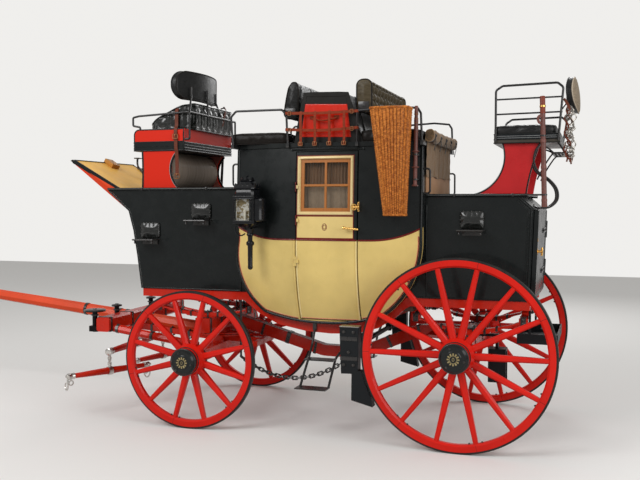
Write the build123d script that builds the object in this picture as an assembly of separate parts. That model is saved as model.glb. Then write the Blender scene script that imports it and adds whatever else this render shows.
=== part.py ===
from build123d import *
import math
import os

os.makedirs("parts", exist_ok=True)

# A four-in-hand road coach at full size, in millimetres.
# It faces -X, its near (left) side is -Y, the ground is Z = 0.
# While it is drawn, X = 0 is the rear axle. The finished nodes are moved by ORIGIN_SHIFT,
# which puts X = 0 half way between the pole's tip and the hindmost point.

# Running gear
REAR_WHEEL_R = 660.0
FRONT_WHEEL_R = 516.0
WHEELBASE = 2031.0
TRACK_HALF = 762.0
REST_LOCK = 2.8
TYRE_WIDTH = 46.0
TYRE_THICK = 15.0
FELLOE_DEPTH = 50.0
FELLOE_WIDTH = 54.0
REAR_SPOKES = 14
FRONT_SPOKES = 12
NAVE_R = 120.0
CAP_R = 93.0
REAR_CAP_REACH = 142.0
FRONT_CAP_REACH = 136.0
AXLE_R = 26.0
FIT_GAP = 0.3
MOVE_GAP = 6.0

# Cabin
CABIN_FRONT = -1695.0
CABIN_REAR = -277.0
CABIN_MID = (CABIN_FRONT + CABIN_REAR) / 2
CABIN_HALF = 650.0
ROOF_EDGE_HALF = 622.0
ELBOW_Z = 1430.0
SILL_HALF = 520.0
CABIN_BASE = 797.0
ROOF_EDGE = 2085.0
ROOF_CAMBER = 36.0
ROOF_THICK = 26.0
SIDE_PLAN_R = 2700.0
SIDE_SWEEP = 20.0
WALL = 24.0
DOOR_FRONT = -1190.0
DOOR_REAR = -730.0
DOOR_TOP = 2050.0
DOOR_BASE = 832.0
DOOR_REBATE = 16.0
DOOR_SLACK = 3.0
STOP_RIM = 24.0
STOP_LAP = 32.0
STOP_BASE = 880.0
DOOR_HINGES = (1262.0, 1560.0, 1800.0)
HINGE_STAND = 5.0
HINGE_R = 7.0
HINGE_PLATE = 20.0
WINDOW_FRONT = -1156.0
WINDOW_REAR = -776.0
WINDOW_TOP = 2000.0
WINDOW_BASE = 1622.0
SASH_BAR = 26.0
GLASS_THICK = 5.0

# Boots and frame beams
BOOT_HALF = 465.0
FRONT_BOOT_TOP = 1790.0
BOOT_BASE = 1006.0
REAR_BOOT_TOP = 1732.0
REAR_BOOT_BACK = 470.0
BOOT_WALL = 22.0
FRONT_LID_X = -2866.0
DOOR_THICK = 24.0
HINGE_Y = 477.0
BEAM_BASE = 945.0
BEAM_HALF = 430.0
BEAM_WIDTH = 58.0
CROSSING_HALF = 42.0
MOULDING = 14.0

# Seats
BOX_HALF = 440.0
BOX_FRONT = -2642.0
BOX_REAR = -2195.0
BOX_BASE = FRONT_BOOT_TOP + 306
BOX_TOP = BOX_BASE + 174
GUARD_HALF = 330.0
GUARD_FRONT = 182.0
GUARD_REAR = 629.0
GUARD_BASE = 2100.0
GUARD_TOP = 2166.0
RISER_THICK = 26.0
RAIL_R = 8.0
ROOF_SEAT_TOP = 2205.0
RAIL_HALF = 629.0
BACK_ROLL_HALF = 540.0
CANVAS_FRONT = -284.0
BOX_BAR_X = -2152.0
BOX_BAR_Z = BOX_TOP + 127
BOX_PAD_Y = -110.0
BOX_PAD_HALF = 360.0
BOX_PAD_BOW = 95.0
BOX_PAD_THICK = 56.0
BOX_PAD_LOW = BOX_BAR_Z + 108
BOX_PAD_HIGH = 262.0
GUARD_PAD_X = 672.0

# Underframe
FRONT_SPRING_X = -2061.0
FRONT_SPRING_HALF = 390.0
REAR_SPRING_X = 20.0
REAR_SPRING_HALF = 380.0
LEAF_THICK = 9.0
LEAF_STEP = 8.5
LEAF_WIDTH = 52.0
TURN_PLATE_R = 230.0
SHAFT_Z = 650.0

# The drag chain: a link's length, width and iron, then its line
CHAIN_LINK = (56.4, 35.0, 10.4)
CHAIN_PITCH = 35.0
CHAIN_START = (-1720.0, -430.0, 500.0)
CHAIN_END = (-775.0, -430.0, 602.0)
CHAIN_SAG = 188.0

# Pole and the hindmost point, which set the origin
POLE_TIP_REACH = 3560.0
POLE_TIP_R = 20.0
PAD_BACK = 762.0
POLE_TIP_X = (-WHEELBASE - POLE_TIP_REACH * math.cos(math.radians(REST_LOCK))
              - POLE_TIP_R * math.sin(math.radians(REST_LOCK)))
ORIGIN_SHIFT = -(POLE_TIP_X + PAD_BACK) / 2

LEFT = -1
RIGHT = 1
SIDES = ((LEFT, "left"), (RIGHT, "right"))


def save(name, shape):
    """Move a finished node to the part's origin and write it."""
    moved = Pos(ORIGIN_SHIFT, 0, 0) * shape
    export_step(moved, "parts/" + name + ".step")


def solids(*shapes):
    """Several solids that share a node."""
    return Compound(children=[one for shape in shapes for one in shape.solids()])


def fuse(*shapes):
    """One solid from shapes that meet."""
    whole = shapes[0]
    for shape in shapes[1:]:
        whole = whole + shape
    return whole


def mirrored(shape):
    """The same shape on the other side of the coach."""
    return mirror(shape, about=Plane.XZ)


def box(x0, x1, y0, y1, z0, z1):
    """A box between named faces."""
    size = (x1 - x0, y1 - y0, z1 - z0)
    return Pos((x0 + x1) / 2, (y0 + y1) / 2, (z0 + z1) / 2) * Box(*size)


def side_prism(edges, y0, y1):
    """An outline drawn in X and Z, carried from y0 to y1."""
    face = make_face(Plane.XZ.offset(-y1) * edges)
    return extrude(face, amount=y1 - y0, dir=(0, -1, 0))


def polygon_prism(points, y0, y1):
    """A straight-sided outline in X and Z, carried from y0 to y1."""
    return side_prism(Polyline(*points, close=True), y0, y1)


def rod(points, bend, radius):
    """A round iron that follows points, bent to one radius."""
    path = FilletPolyline(*points, radius=bend) if len(points) > 2 else Line(*points)
    return sweep(Plane(origin=path @ 0, z_dir=path % 0) * Circle(radius), path=path)


def tapered_bar(start, end, start_r, end_r, corners=8):
    """A straight bar with a many-sided section that tapers to its end."""
    direction = Vector(*end) - Vector(*start)
    lower = Plane(origin=start, z_dir=direction)
    upper = Plane(origin=end, z_dir=direction)
    faces = [lower * RegularPolygon(start_r, corners), upper * RegularPolygon(end_r, corners)]
    return loft(faces, ruled=True)


def steered(shape):
    """A front-carriage shape drawn straight ahead about X = 0, at the rest lock."""
    return Pos(-WHEELBASE, 0, 0) * (Rot(0, 0, REST_LOCK) * shape)


# Wheels are drawn about local Z, which points outward.

def wheel_shapes(radius, spokes, first_angle, cap_reach):
    """The red wheel, its tyre and its hub cap, about local Z."""
    rim_out = radius - TYRE_THICK
    rim_in = rim_out - FELLOE_DEPTH
    half = FELLOE_WIDTH / 2
    bevel = 12.0
    rim_points = [(rim_in, -half + bevel), (rim_in + bevel, -half), (rim_out, -half),
                  (rim_out, half), (rim_in + bevel, half), (rim_in, half - bevel)]
    rim = revolve(make_face(Plane.XZ * Polyline(*rim_points, close=True)), Axis.Z)
    bore = AXLE_R + FIT_GAP
    nave_points = [(bore, -120), (78, -120), (92, -92), (NAVE_R, -44), (NAVE_R, 10),
                   (104, 40), (98, 70), (bore, 70)]
    nave = revolve(make_face(Plane.XZ * Polyline(*nave_points, close=True)), Axis.Z)
    wheel = fuse(rim, nave)
    foot_r = NAVE_R - 8
    dish = -17.0
    for turn in range(spokes):
        angle = math.radians(first_angle + 360.0 * turn / spokes)
        out = Vector(math.cos(angle), math.sin(angle), 0)
        side = Vector(-math.sin(angle), math.cos(angle), 0)
        foot = Plane(origin=out * foot_r + Vector(0, 0, dish), x_dir=side, z_dir=out)
        head = Plane(origin=out * (rim_in + 4), x_dir=side, z_dir=out)
        section = [foot * spoke_section(25.0, 27.0), head * spoke_section(16.0, 19.0)]
        wheel = wheel + loft(section, ruled=True)
    crown = 5.0
    tyre_half = TYRE_WIDTH / 2
    tyre_points = [(rim_out, -tyre_half), (radius - crown, -tyre_half), (radius, -tyre_half + crown),
                   (radius, tyre_half - crown), (radius - crown, tyre_half), (rim_out, tyre_half)]
    tyre = revolve(make_face(Plane.XZ * Polyline(*tyre_points, close=True)), Axis.Z)
    cap_points = [(0, 70), (CAP_R, 70), (CAP_R, cap_reach - 16), (CAP_R - 12, cap_reach - 4),
                  (56, cap_reach - 4), (50, cap_reach), (0, cap_reach)]
    cap = revolve(make_face(Plane.XZ * Polyline(*cap_points, close=True)), Axis.Z)
    return wheel, tyre, cap


def spoke_section(half_side, half_axial):
    """A bevelled oblong, half_side round the wheel and half_axial along its axle."""
    cut = 0.45 * half_side
    points = [(-half_side, -half_axial + cut), (-half_side + cut, -half_axial),
              (half_side - cut, -half_axial), (half_side, -half_axial + cut),
              (half_side, half_axial - cut), (half_side - cut, half_axial),
              (-half_side + cut, half_axial), (-half_side, half_axial - cut)]
    return make_face(Polyline(*points, close=True))


def save_wheels():
    """All four wheels, the front pair turned with the front carriage."""
    for side, side_name in SIDES:
        outward = (0, side, 0)
        for end in ("front", "rear"):
            radius = FRONT_WHEEL_R if end == "front" else REAR_WHEEL_R
            spokes = FRONT_SPOKES if end == "front" else REAR_SPOKES
            first = 15.0 if end == "front" else 0.0
            reach = FRONT_CAP_REACH if end == "front" else REAR_CAP_REACH
            seat = Plane(origin=(0, side * TRACK_HALF, radius), x_dir=(1, 0, 0), z_dir=outward)
            shapes = wheel_shapes(radius, spokes, first, reach)
            for kind, shape in zip(("wheel", "tyre", "cap"), shapes):
                placed = seat.location * shape
                if end == "front":
                    placed = steered(placed)
                save(kind + "_" + end + "_" + side_name, placed)


def axle(radius, beam_half_height, beam_top):
    """An iron axle with its wooden bed, between the naves, about X = 0."""
    arm_half = TRACK_HALF + 60
    arm = Plane(origin=(0, -arm_half, radius), z_dir=(0, 1, 0)).location * Cylinder(
        AXLE_R, 2 * arm_half, align=(Align.CENTER, Align.CENTER, Align.MIN))
    bed_half = TRACK_HALF - 128
    bed = box(-46, 46, -bed_half, bed_half, radius - beam_half_height, beam_top)
    return arm, bed


# Cabin

def cabin_outline(grow=0.0):
    """The cabin's side outline in X and Z: upright ends that curve into a boat-shaped bottom."""
    front = CABIN_FRONT - grow
    rear = CABIN_REAR + grow
    base = CABIN_BASE - grow
    top = ROOF_EDGE + grow
    front_up = Line((front, top), (front, 1400))
    front_turn = ThreePointArc((front, 1400), (-1642 - grow, 1040), (-1490 - grow / 2, 862 - grow))
    front_base = ThreePointArc((-1490 - grow / 2, 862 - grow), (-1262, 812 - grow), (-1000, base))
    rear_base = ThreePointArc((-1000, base), (-760, 816 - grow), (-560 + grow / 2, 868 - grow))
    rear_turn = ThreePointArc((-560 + grow / 2, 868 - grow), (-356 + grow, 1096), (rear, 1450))
    rear_up = Line((rear, 1450), (rear, top))
    roof_line = Line((rear, top), (front, top))
    return Wire([front_up, front_turn, front_base, rear_base, rear_turn, rear_up, roof_line])


def side_chain(shift):
    """The side's upright section at the door: leaning in to the roof, turned under to the sill."""
    roof_point = (-ROOF_EDGE_HALF + shift, ROOF_EDGE)
    elbow = (-CABIN_HALF + shift, ELBOW_Z)
    knee = (-CABIN_HALF + 26 + shift, 1090)
    foot = (-SILL_HALF + shift, CABIN_BASE - 4)
    upper = ThreePointArc(roof_point, (-CABIN_HALF + 8 + shift, 1740), elbow)
    lower = ThreePointArc(elbow, knee, foot)
    return upper, lower, roof_point, foot


def swept_side(outer_shift, inner_shift):
    """The left side between two shifts of its section, swept about its plan centre."""
    outer_upper, outer_lower, outer_roof, outer_foot = side_chain(outer_shift)
    inner_upper, inner_lower, inner_roof, inner_foot = side_chain(inner_shift)
    edges = [outer_upper, outer_lower, Line(outer_foot, inner_foot), inner_lower, inner_upper,
             Line(inner_roof, outer_roof)]
    at_middle = Plane(origin=(CABIN_MID, 0, 0), x_dir=(0, 1, 0), z_dir=(1, 0, 0))
    face = make_face(at_middle * Wire(edges))
    centre = Axis((CABIN_MID, SIDE_PLAN_R - CABIN_HALF, 0), (0, 0, 1))
    start = face.rotate(centre, -SIDE_SWEEP)
    return revolve(start, centre, 2 * SIDE_SWEEP)


def cabin_space():
    """Everything inside the two sides, from roof edge to sill."""
    room = box(CABIN_FRONT - WALL, CABIN_REAR + WALL, -CABIN_HALF, CABIN_HALF,
               CABIN_BASE - 4, ROOF_EDGE)
    beyond = swept_side(-240, WALL)
    return room - beyond - mirrored(beyond)


def cabin_inner_outline():
    """The cabin's side outline inside its end walls and floor."""
    return cabin_outline(-WALL)


def left_door_cut(grow, rear_grow):
    """The doorway, or the door when grow is negative, through the left side."""
    return box(DOOR_FRONT - grow, DOOR_REAR + rear_grow, -CABIN_HALF - 60, -SILL_HALF + 130,
               DOOR_BASE - grow, DOOR_TOP + grow)


def left_window_cut(grow):
    """The window through the left door."""
    return box(WINDOW_FRONT - grow, WINDOW_REAR + grow, -CABIN_HALF - 60, -SILL_HALF + 130,
               WINDOW_BASE - grow, WINDOW_TOP + grow)


def left_door_stop():
    """The strip inside the left doorway that the shut door stands before."""
    doorway = left_door_cut(MOVE_GAP, MOVE_GAP)
    rim = left_door_cut(STOP_RIM, STOP_RIM) - left_door_cut(-STOP_LAP, -STOP_LAP)
    rim = rim - box(DOOR_FRONT - 60, DOOR_REAR + 60, -CABIN_HALF, 0, 0, STOP_BASE)
    seat = swept_side(WALL - 1, WALL + 14) & (rim - doorway)
    tongue = swept_side(WALL + MOVE_GAP, WALL + 14) & (rim & left_door_cut(MOVE_GAP + 1, MOVE_GAP + 1))
    return fuse(seat, tongue)


def door_hinge(level, height, away):
    """A knuckle of the left door's hinge and the plate that joins it to wall or door."""
    y_axis = -CABIN_HALF - HINGE_STAND
    knuckle = Pos(DOOR_FRONT, y_axis, level) * Cylinder(HINGE_R, height)
    x0, x1 = sorted((DOOR_FRONT + away * 1.5, DOOR_FRONT + away * HINGE_PLATE))
    return knuckle, box(x0, x1, y_axis, -CABIN_HALF + 24, level - height / 2, level + height / 2)


def save_cabin():
    """The hollow cabin, its doors, sashes, glass and handles."""
    shell = swept_side(0, WALL)
    outline_prism = side_prism(cabin_outline(), -CABIN_HALF - 60, CABIN_HALF + 60)
    side = shell & outline_prism
    space = cabin_space()
    band = (side_prism(cabin_outline(), -CABIN_HALF, CABIN_HALF)
            - side_prism(cabin_inner_outline(), -CABIN_HALF, CABIN_HALF)) & space
    band = band - box(CABIN_FRONT + WALL, CABIN_REAR - WALL, -CABIN_HALF, CABIN_HALF,
                      ROOF_EDGE - 2 * WALL, ROOF_EDGE + WALL)
    floor_front = -1490
    floor_rear = -560
    everywhere = (-CABIN_HALF, CABIN_HALF, CABIN_BASE - WALL, ROOF_EDGE + WALL)
    save("cabin_front", band & box(CABIN_FRONT - WALL, floor_front, *everywhere))
    save("cabin_floor", band & box(floor_front, floor_rear, *everywhere))
    save("cabin_rear", band & box(floor_rear, CABIN_REAR + WALL, *everywhere))

    wall_side = fuse(side - left_door_cut(MOVE_GAP, MOVE_GAP), left_door_stop())
    for level in DOOR_HINGES:
        for away in (-1, 1):
            wall_side = fuse(wall_side, *door_hinge(level + 24 * away, 22, -1))
    save("cabin_side_left", wall_side)
    save("cabin_side_right", mirrored(wall_side))

    outer_leaf = swept_side(0, 9) & outline_prism & left_door_cut(0, -DOOR_SLACK)
    inner_leaf = swept_side(8, WALL) & outline_prism & left_door_cut(0, -DOOR_REBATE)
    door = fuse(outer_leaf, inner_leaf) - left_window_cut(0)
    for level in DOOR_HINGES:
        door = fuse(door, *door_hinge(level, 24, 1))
    frame_zone = left_window_cut(-0.3) - left_window_cut(-SASH_BAR)
    middle_x = (WINDOW_FRONT + WINDOW_REAR) / 2
    middle_z = (WINDOW_BASE + WINDOW_TOP) / 2
    bars = fuse(box(middle_x - 8, middle_x + 8, -CABIN_HALF - 60, -SILL_HALF + 130,
                    WINDOW_BASE + SASH_BAR - 2, WINDOW_TOP - SASH_BAR + 2),
                box(WINDOW_FRONT + SASH_BAR - 2, WINDOW_REAR - SASH_BAR + 2,
                    -CABIN_HALF - 60, -SILL_HALF + 130, middle_z - 8, middle_z + 8))
    sash_shell = swept_side(7, 15)
    sash = fuse(sash_shell & frame_zone, sash_shell & bars)
    pane_zone = left_window_cut(-0.3)
    pane = swept_side(15 + 0.3, 15 + GLASS_THICK) & pane_zone
    face_y = -CABIN_HALF
    knob_x = -706.0
    rose_seat = Plane(origin=(knob_x - 44, face_y + 8, 1655), z_dir=(0, -1, 0))
    rose = rose_seat.location * Cylinder(13, 28)
    stalk = rod([(knob_x - 44, face_y - 6, 1655), (knob_x - 44, face_y - 36, 1655),
                 (knob_x, face_y - 36, 1655)], 12, 5)
    tee = rod([(knob_x, face_y - 36, 1625), (knob_x, face_y - 36, 1690)], 0, 7)
    lever = rod([(knob_x - 112, face_y - 26, 1508), (knob_x - 4, face_y - 26, 1498)], 0, 7.5)
    lever_post = Plane(origin=(knob_x - 40, face_y - 1, 1502),
                       z_dir=(0, -1, 0)).location * Cylinder(7, 50)
    near_shell = swept_side(-FIT_GAP, WALL)
    handle = solids(fuse(rose, stalk, tee) - near_shell, fuse(lever, lever_post) - near_shell)
    for side_sign, side_name in SIDES:
        turned = (lambda shape: shape) if side_sign == LEFT else mirrored
        save("door_" + side_name, turned(door))
        save("sash_" + side_name, turned(sash))
        save("glass_" + side_name, turned(pane))
        save("handle_" + side_name, turned(handle))

    save("cabin_roof", roof_panel())
    save("cabin_benches", cabin_benches())


def roof_section(lift, thick):
    """The roof's section in Y and Z: flat below, cambered on top."""
    half = CABIN_HALF + 20
    low = ROOF_EDGE + lift
    edge = low + thick
    over = ThreePointArc((half, edge), (0, edge + ROOF_CAMBER), (-half, edge))
    return Wire([Line((-half, low), (half, low)), Line((half, low), (half, edge)), over,
                 Line((-half, edge), (-half, low))])


def roof_body(lift, thick, grow):
    """A cambered sheet over the cabin's plan."""
    front = CABIN_FRONT - grow
    rear = CABIN_REAR + grow
    at_front = Plane(origin=(front, 0, 0), x_dir=(0, 1, 0), z_dir=(1, 0, 0))
    sheet = extrude(make_face(at_front * roof_section(lift, thick)), amount=rear - front)
    corner = ROOF_EDGE_HALF - 92 + grow
    middle = ROOF_EDGE_HALF + grow
    plan = [Line((front, -corner), (front, corner)),
            ThreePointArc((front, corner), (CABIN_MID, middle), (rear, corner)),
            Line((rear, corner), (rear, -corner)),
            ThreePointArc((rear, -corner), (CABIN_MID, -middle), (front, -corner))]
    cookie = extrude(Plane.XY.offset(ROOF_EDGE - 50) * make_face(Wire(plan)), amount=400)
    return sheet & cookie


def roof_panel():
    """The roof with its drip edge, resting on the walls."""
    return roof_body(FIT_GAP, ROOF_THICK - FIT_GAP, 10)


def cabin_benches():
    """Two facing benches with squab and seat cushion, clear of the doors."""
    pieces = []
    table = ((70, 400, 470, 1130, 1260), (FIT_GAP, 66, 470, 1260.3, 1620),
             (70, 340, 440, 900, 1129.7))
    for face, away in ((CABIN_FRONT + WALL, 1), (CABIN_REAR - WALL, -1)):
        for x_near, x_far, half, z0, z1 in table:
            low, high = sorted((face + away * x_near, face + away * x_far))
            pieces.append(box(low, high, -half, half, z0, z1))
    space = side_prism(cabin_outline(-WALL - FIT_GAP), -CABIN_HALF, CABIN_HALF)
    return solids(*[piece & space for piece in pieces])


# Boots, beams and footboard

def cabin_cutter():
    """The cabin's outline, a hair larger, to shape what butts against it."""
    return side_prism(cabin_outline(0.5), -CABIN_HALF - 60, CABIN_HALF + 60)


def boot_back(level):
    """The rear boot's back face, which leans."""
    return REAR_BOOT_BACK - 22 * (1649 - level) / (1649 - BOOT_BASE)


def hinge_knuckle(level, height):
    """A knuckle on the rear door's leaning hinge line."""
    lean = (boot_back(1649) - boot_back(BOOT_BASE), 0, 1649 - BOOT_BASE)
    at = (boot_back(level) + MOVE_GAP + DOOR_THICK + 2, HINGE_Y, level)
    return Plane(origin=at, z_dir=lean).location * Cylinder(9, height)


def save_boots():
    """The closed front boot, the hollow rear boot and its door."""
    front_points = [(CABIN_FRONT + 260, FRONT_BOOT_TOP), (-2851, FRONT_BOOT_TOP), (-2669, 1628),
                    (-2625, 1469), (-2591, 1261), (-2557, BOOT_BASE), (CABIN_FRONT + 260, BOOT_BASE)]
    boot = polygon_prism(front_points, -BOOT_HALF, BOOT_HALF)
    lid = box(FRONT_LID_X, CABIN_FRONT + 100, -BOOT_HALF - MOULDING, BOOT_HALF + MOULDING,
              FRONT_BOOT_TOP, FRONT_BOOT_TOP + MOULDING)
    save("front_boot", fuse(boot, lid) - cabin_cutter())

    rear_points = [(CABIN_REAR - 260, REAR_BOOT_TOP), (377, REAR_BOOT_TOP), (REAR_BOOT_BACK, 1649),
                   (boot_back(BOOT_BASE), BOOT_BASE), (CABIN_REAR - 260, BOOT_BASE)]
    outside = polygon_prism(rear_points, -BOOT_HALF, BOOT_HALF)
    wall = BOOT_WALL
    hollow_points = [(CABIN_REAR + 60, REAR_BOOT_TOP - wall), (368, REAR_BOOT_TOP - wall),
                     (REAR_BOOT_BACK + 60, 1570), (REAR_BOOT_BACK + 60, BOOT_BASE + wall + 20),
                     (CABIN_REAR + 60, BOOT_BASE + wall)]
    hollow = polygon_prism(hollow_points, -BOOT_HALF + wall, BOOT_HALF - wall)
    rear_lid = box(CABIN_REAR - 100, REAR_BOOT_BACK - 40, -BOOT_HALF - MOULDING,
                   BOOT_HALF + MOULDING, REAR_BOOT_TOP, REAR_BOOT_TOP + MOULDING)
    rear_boot = fuse(outside - hollow, rear_lid) - cabin_cutter()

    inner = MOVE_GAP
    outer = MOVE_GAP + DOOR_THICK
    low = BOOT_BASE + 4
    high = 1640
    door_points = [(boot_back(high) + inner, high), (boot_back(high) + outer, high),
                   (boot_back(low) + outer, low), (boot_back(low) + inner, low)]
    door = polygon_prism(door_points, -BOOT_HALF + 4, BOOT_HALF - 4)
    for level in (1180, 1480):
        face = boot_back(level) + outer
        strap = box(face - 3, face + 6, BOOT_HALF - 360, HINGE_Y, level - 18, level + 18)
        door = fuse(door, strap, hinge_knuckle(level, 60))
        for away in (-1, 1):
            middle = level + away * 48
            plate = box(boot_back(level) - 70, boot_back(level) + outer, BOOT_HALF - 1,
                        BOOT_HALF + 7, middle - 14, middle + 14)
            rear_boot = fuse(rear_boot, plate, hinge_knuckle(middle, 35))
    save("boot_door", door)
    save("rear_boot", rear_boot)


def save_beams():
    """The red beams under the boots, carried round the cabin's bottom as a sill."""
    cutter = side_prism(cabin_outline(0.5), -CABIN_HALF, CABIN_HALF)
    low_line = [(-2558, BOOT_BASE), (-2558, BEAM_BASE), (-1680, BEAM_BASE - 4), (-1560, 850),
                (-1400, 770), (-1180, 728), (-980, 718), (-780, 728), (-620, 775), (-500, 850),
                (-420, 925), (-380, BEAM_BASE), (450, BEAM_BASE), (450, BOOT_BASE)]
    beams = []
    for side in (LEFT, RIGHT):
        y0, y1 = sorted((side * (BEAM_HALF - BEAM_WIDTH / 2), side * (BEAM_HALF + BEAM_WIDTH / 2)))
        beams.append(polygon_prism(low_line, y0, y1))
    crossings = [(-2558, -2500)]
    for spring_x, reach in ((FRONT_SPRING_X, FRONT_SPRING_HALF), (REAR_SPRING_X, REAR_SPRING_HALF)):
        for away in (-1, 1):
            middle = spring_x + away * reach
            crossings.append((middle - CROSSING_HALF, middle + CROSSING_HALF))
    for x0, x1 in crossings:
        beams.append(box(x0, x1, -BEAM_HALF + 20, BEAM_HALF - 20, BEAM_BASE + 4, BOOT_BASE - 0.3))
    save("sill_beams", fuse(*beams) - cutter)


def save_footboard():
    """The sloping footboard on its two side brackets."""
    lid_top = FRONT_BOOT_TOP + MOULDING + FIT_GAP
    heel = (-2777, lid_top)
    toe = (-3190, 2034)
    board_points = [heel, toe, (toe[0] - 36, toe[1] + 2), (toe[0] - 16, toe[1] - 24),
                    (heel[0] - 36, heel[1])]
    board = polygon_prism(board_points, -BOOT_HALF + 12, BOOT_HALF - 12)
    cheek_points = [(-2853, lid_top - 2), (-3212, 2036), (-3228, 2032), (-3108, 1942),
                    (-2720, 1648), (-2693, 1650)]
    boot_room = polygon_prism([(FRONT_LID_X - FIT_GAP, lid_top),
                               (FRONT_LID_X - FIT_GAP, FRONT_BOOT_TOP - FIT_GAP),
                               (-2851.5, FRONT_BOOT_TOP - FIT_GAP), (-2669.5, 1628),
                               (-2400, 1600), (-2400, lid_top)], -BOOT_HALF, BOOT_HALF)
    cheeks = []
    for side in (LEFT, RIGHT):
        y0, y1 = sorted((side * (BOOT_HALF - 10), side * (BOOT_HALF - 34)))
        cheeks.append(polygon_prism(cheek_points, y0, y1) - boot_room)
    save("footboard", fuse(board, *cheeks))


# Seats

def riser(front_x, waist_front, rear_x, waist_rear, z0, z1, y_mid):
    """A seat end board with a hollow rear edge."""
    mid_z = (z0 + z1) / 2
    edges = [ThreePointArc((front_x, z1), (waist_front, mid_z), (front_x, z0)),
             Line((front_x, z0), (rear_x, z0)),
             ThreePointArc((rear_x, z0), (waist_rear, mid_z), (rear_x, z1)),
             Line((rear_x, z1), (front_x, z1))]
    return side_prism(Wire(edges), y_mid - RISER_THICK / 2, y_mid + RISER_THICK / 2)


def save_box_seat():
    """The driver's box: two end boards, a rounded back panel and the seat box."""
    foot = FRONT_BOOT_TOP + MOULDING
    shapes = []
    for side in (LEFT, RIGHT):
        shapes.append(riser(-2562, -2558, -2262, -2326, foot, BOX_BASE, side * (BOX_HALF - 20)))
    barrel_mid = (foot + BOX_BASE) / 2
    barrel = [ThreePointArc((-2400, foot), (-2316, barrel_mid), (-2400, BOX_BASE)),
              Line((-2400, BOX_BASE), (-2424, BOX_BASE)),
              ThreePointArc((-2424, BOX_BASE), (-2340, barrel_mid), (-2424, foot)),
              Line((-2424, foot), (-2400, foot))]
    inner = BOX_HALF - 20 - RISER_THICK / 2
    shapes.append(side_prism(Wire(barrel), -inner, inner))
    seat = box(BOX_FRONT, BOX_REAR, -BOX_HALF, BOX_HALF, BOX_BASE, BOX_TOP)
    nose = [edge for edge in seat.edges().filter_by(Axis.Y) if edge.center().X < BOX_FRONT + 5]
    top_nose = [edge for edge in nose if edge.center().Z > BOX_TOP - 5]
    shapes.append(fillet(top_nose, 46))
    save("box_seat", fuse(*shapes))


def save_guard_seat():
    """The hind seat on two curved end boards above the rear boot."""
    foot = REAR_BOOT_TOP + MOULDING
    boards = []
    for side in (LEFT, RIGHT):
        y_mid = side * (GUARD_HALF - 40)
        edges = [Line((236, GUARD_BASE), (500, GUARD_BASE)),
                 ThreePointArc((500, GUARD_BASE), (437, 1900), (408, foot)),
                 Line((408, foot), (40, foot)),
                 ThreePointArc((40, foot), (196, 1850), (236, GUARD_BASE))]
        boards.append(side_prism(Wire(edges), y_mid - RISER_THICK / 2, y_mid + RISER_THICK / 2))
    seat = box(GUARD_FRONT, GUARD_REAR, -GUARD_HALF, GUARD_HALF, GUARD_BASE, GUARD_TOP)
    save("guard_seat", fuse(*boards, seat))


def pillow(x0, x1, y0, y1, z0, z1, radius):
    """A cushion block with rounded long edges."""
    block = box(x0, x1, y0, y1, z0, z1)
    return fillet(block.edges().filter_by(Axis.Y), radius)


def save_cushions():
    """Seat cushions, back rolls and the two oval back pads."""
    roof_clear = roof_body(-200, ROOF_THICK + 200.4, 60)
    front = pillow(-1727, -1265, -600, 600, 2060, ROOF_SEAT_TOP, 30) - roof_clear
    rear = pillow(-720, CANVAS_FRONT - 3, -600, 600, 2060, ROOF_SEAT_TOP, 30) - roof_clear
    guard = pillow(GUARD_FRONT, GUARD_REAR - 26, -GUARD_HALF, GUARD_HALF,
                   GUARD_TOP + FIT_GAP, 2236, 28)
    save("seat_cushions", solids(front, rear, guard))

    base = BOX_TOP + FIT_GAP
    wedge = polygon_prism([(-2545, base), (-2545, base + 62), (-2205, base + 158), (-2205, base)],
                          -400, 400)
    save("box_cushion", fillet(wedge.edges().filter_by(Axis.Y), 22))

    front_roll = pillow(-1322, -1206, -540, 540, 2300, 2568, 50)
    rear_roll = pillow(-764, -652, -540, 540, 2330, 2566, 50)
    save("roof_backs", solids(front_roll, rear_roll))

    rear_x = BOX_BAR_X - RAIL_R - FIT_GAP
    front_x = rear_x - BOX_PAD_THICK
    low_y = BOX_PAD_Y - BOX_PAD_HALF
    high_y = BOX_PAD_Y + BOX_PAD_HALF
    plan = [ThreePointArc((rear_x - BOX_PAD_BOW, low_y), (rear_x, BOX_PAD_Y),
                          (rear_x - BOX_PAD_BOW, high_y)),
            Line((rear_x - BOX_PAD_BOW, high_y), (front_x - BOX_PAD_BOW, high_y)),
            ThreePointArc((front_x - BOX_PAD_BOW, high_y), (front_x, BOX_PAD_Y),
                          (front_x - BOX_PAD_BOW, low_y)),
            Line((front_x - BOX_PAD_BOW, low_y), (rear_x - BOX_PAD_BOW, low_y))]
    bowed = extrude(Plane.XY.offset(BOX_PAD_LOW) * make_face(Wire(plan)), amount=BOX_PAD_HIGH)
    face = Plane(origin=(front_x - 200, BOX_PAD_Y, BOX_PAD_LOW + BOX_PAD_HIGH / 2),
                 x_dir=(0, 1, 0), z_dir=(1, 0, 0))
    corner_r = 118.0
    outline = []
    for side_y, side_z, first in ((1, 1, 0), (-1, 1, 90), (-1, -1, 180), (1, -1, 270)):
        for step in range(5):
            angle = math.radians(first + 22.5 * step)
            outline.append((side_y * (BOX_PAD_HALF - corner_r) + corner_r * math.cos(angle),
                            side_z * (BOX_PAD_HIGH / 2 - corner_r) + corner_r * math.sin(angle)))
    rounded = extrude(make_face(face * Polyline(*outline, close=True)), amount=400)
    guard_face = Plane(origin=(GUARD_PAD_X, 0, 2440), x_dir=(0, 1, 0), z_dir=(1, 0, 0))
    guard_pad = extrude(guard_face * Ellipse(190, 130), amount=PAD_BACK - GUARD_PAD_X)
    save("back_pads", solids(bowed & rounded, guard_pad))


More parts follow.
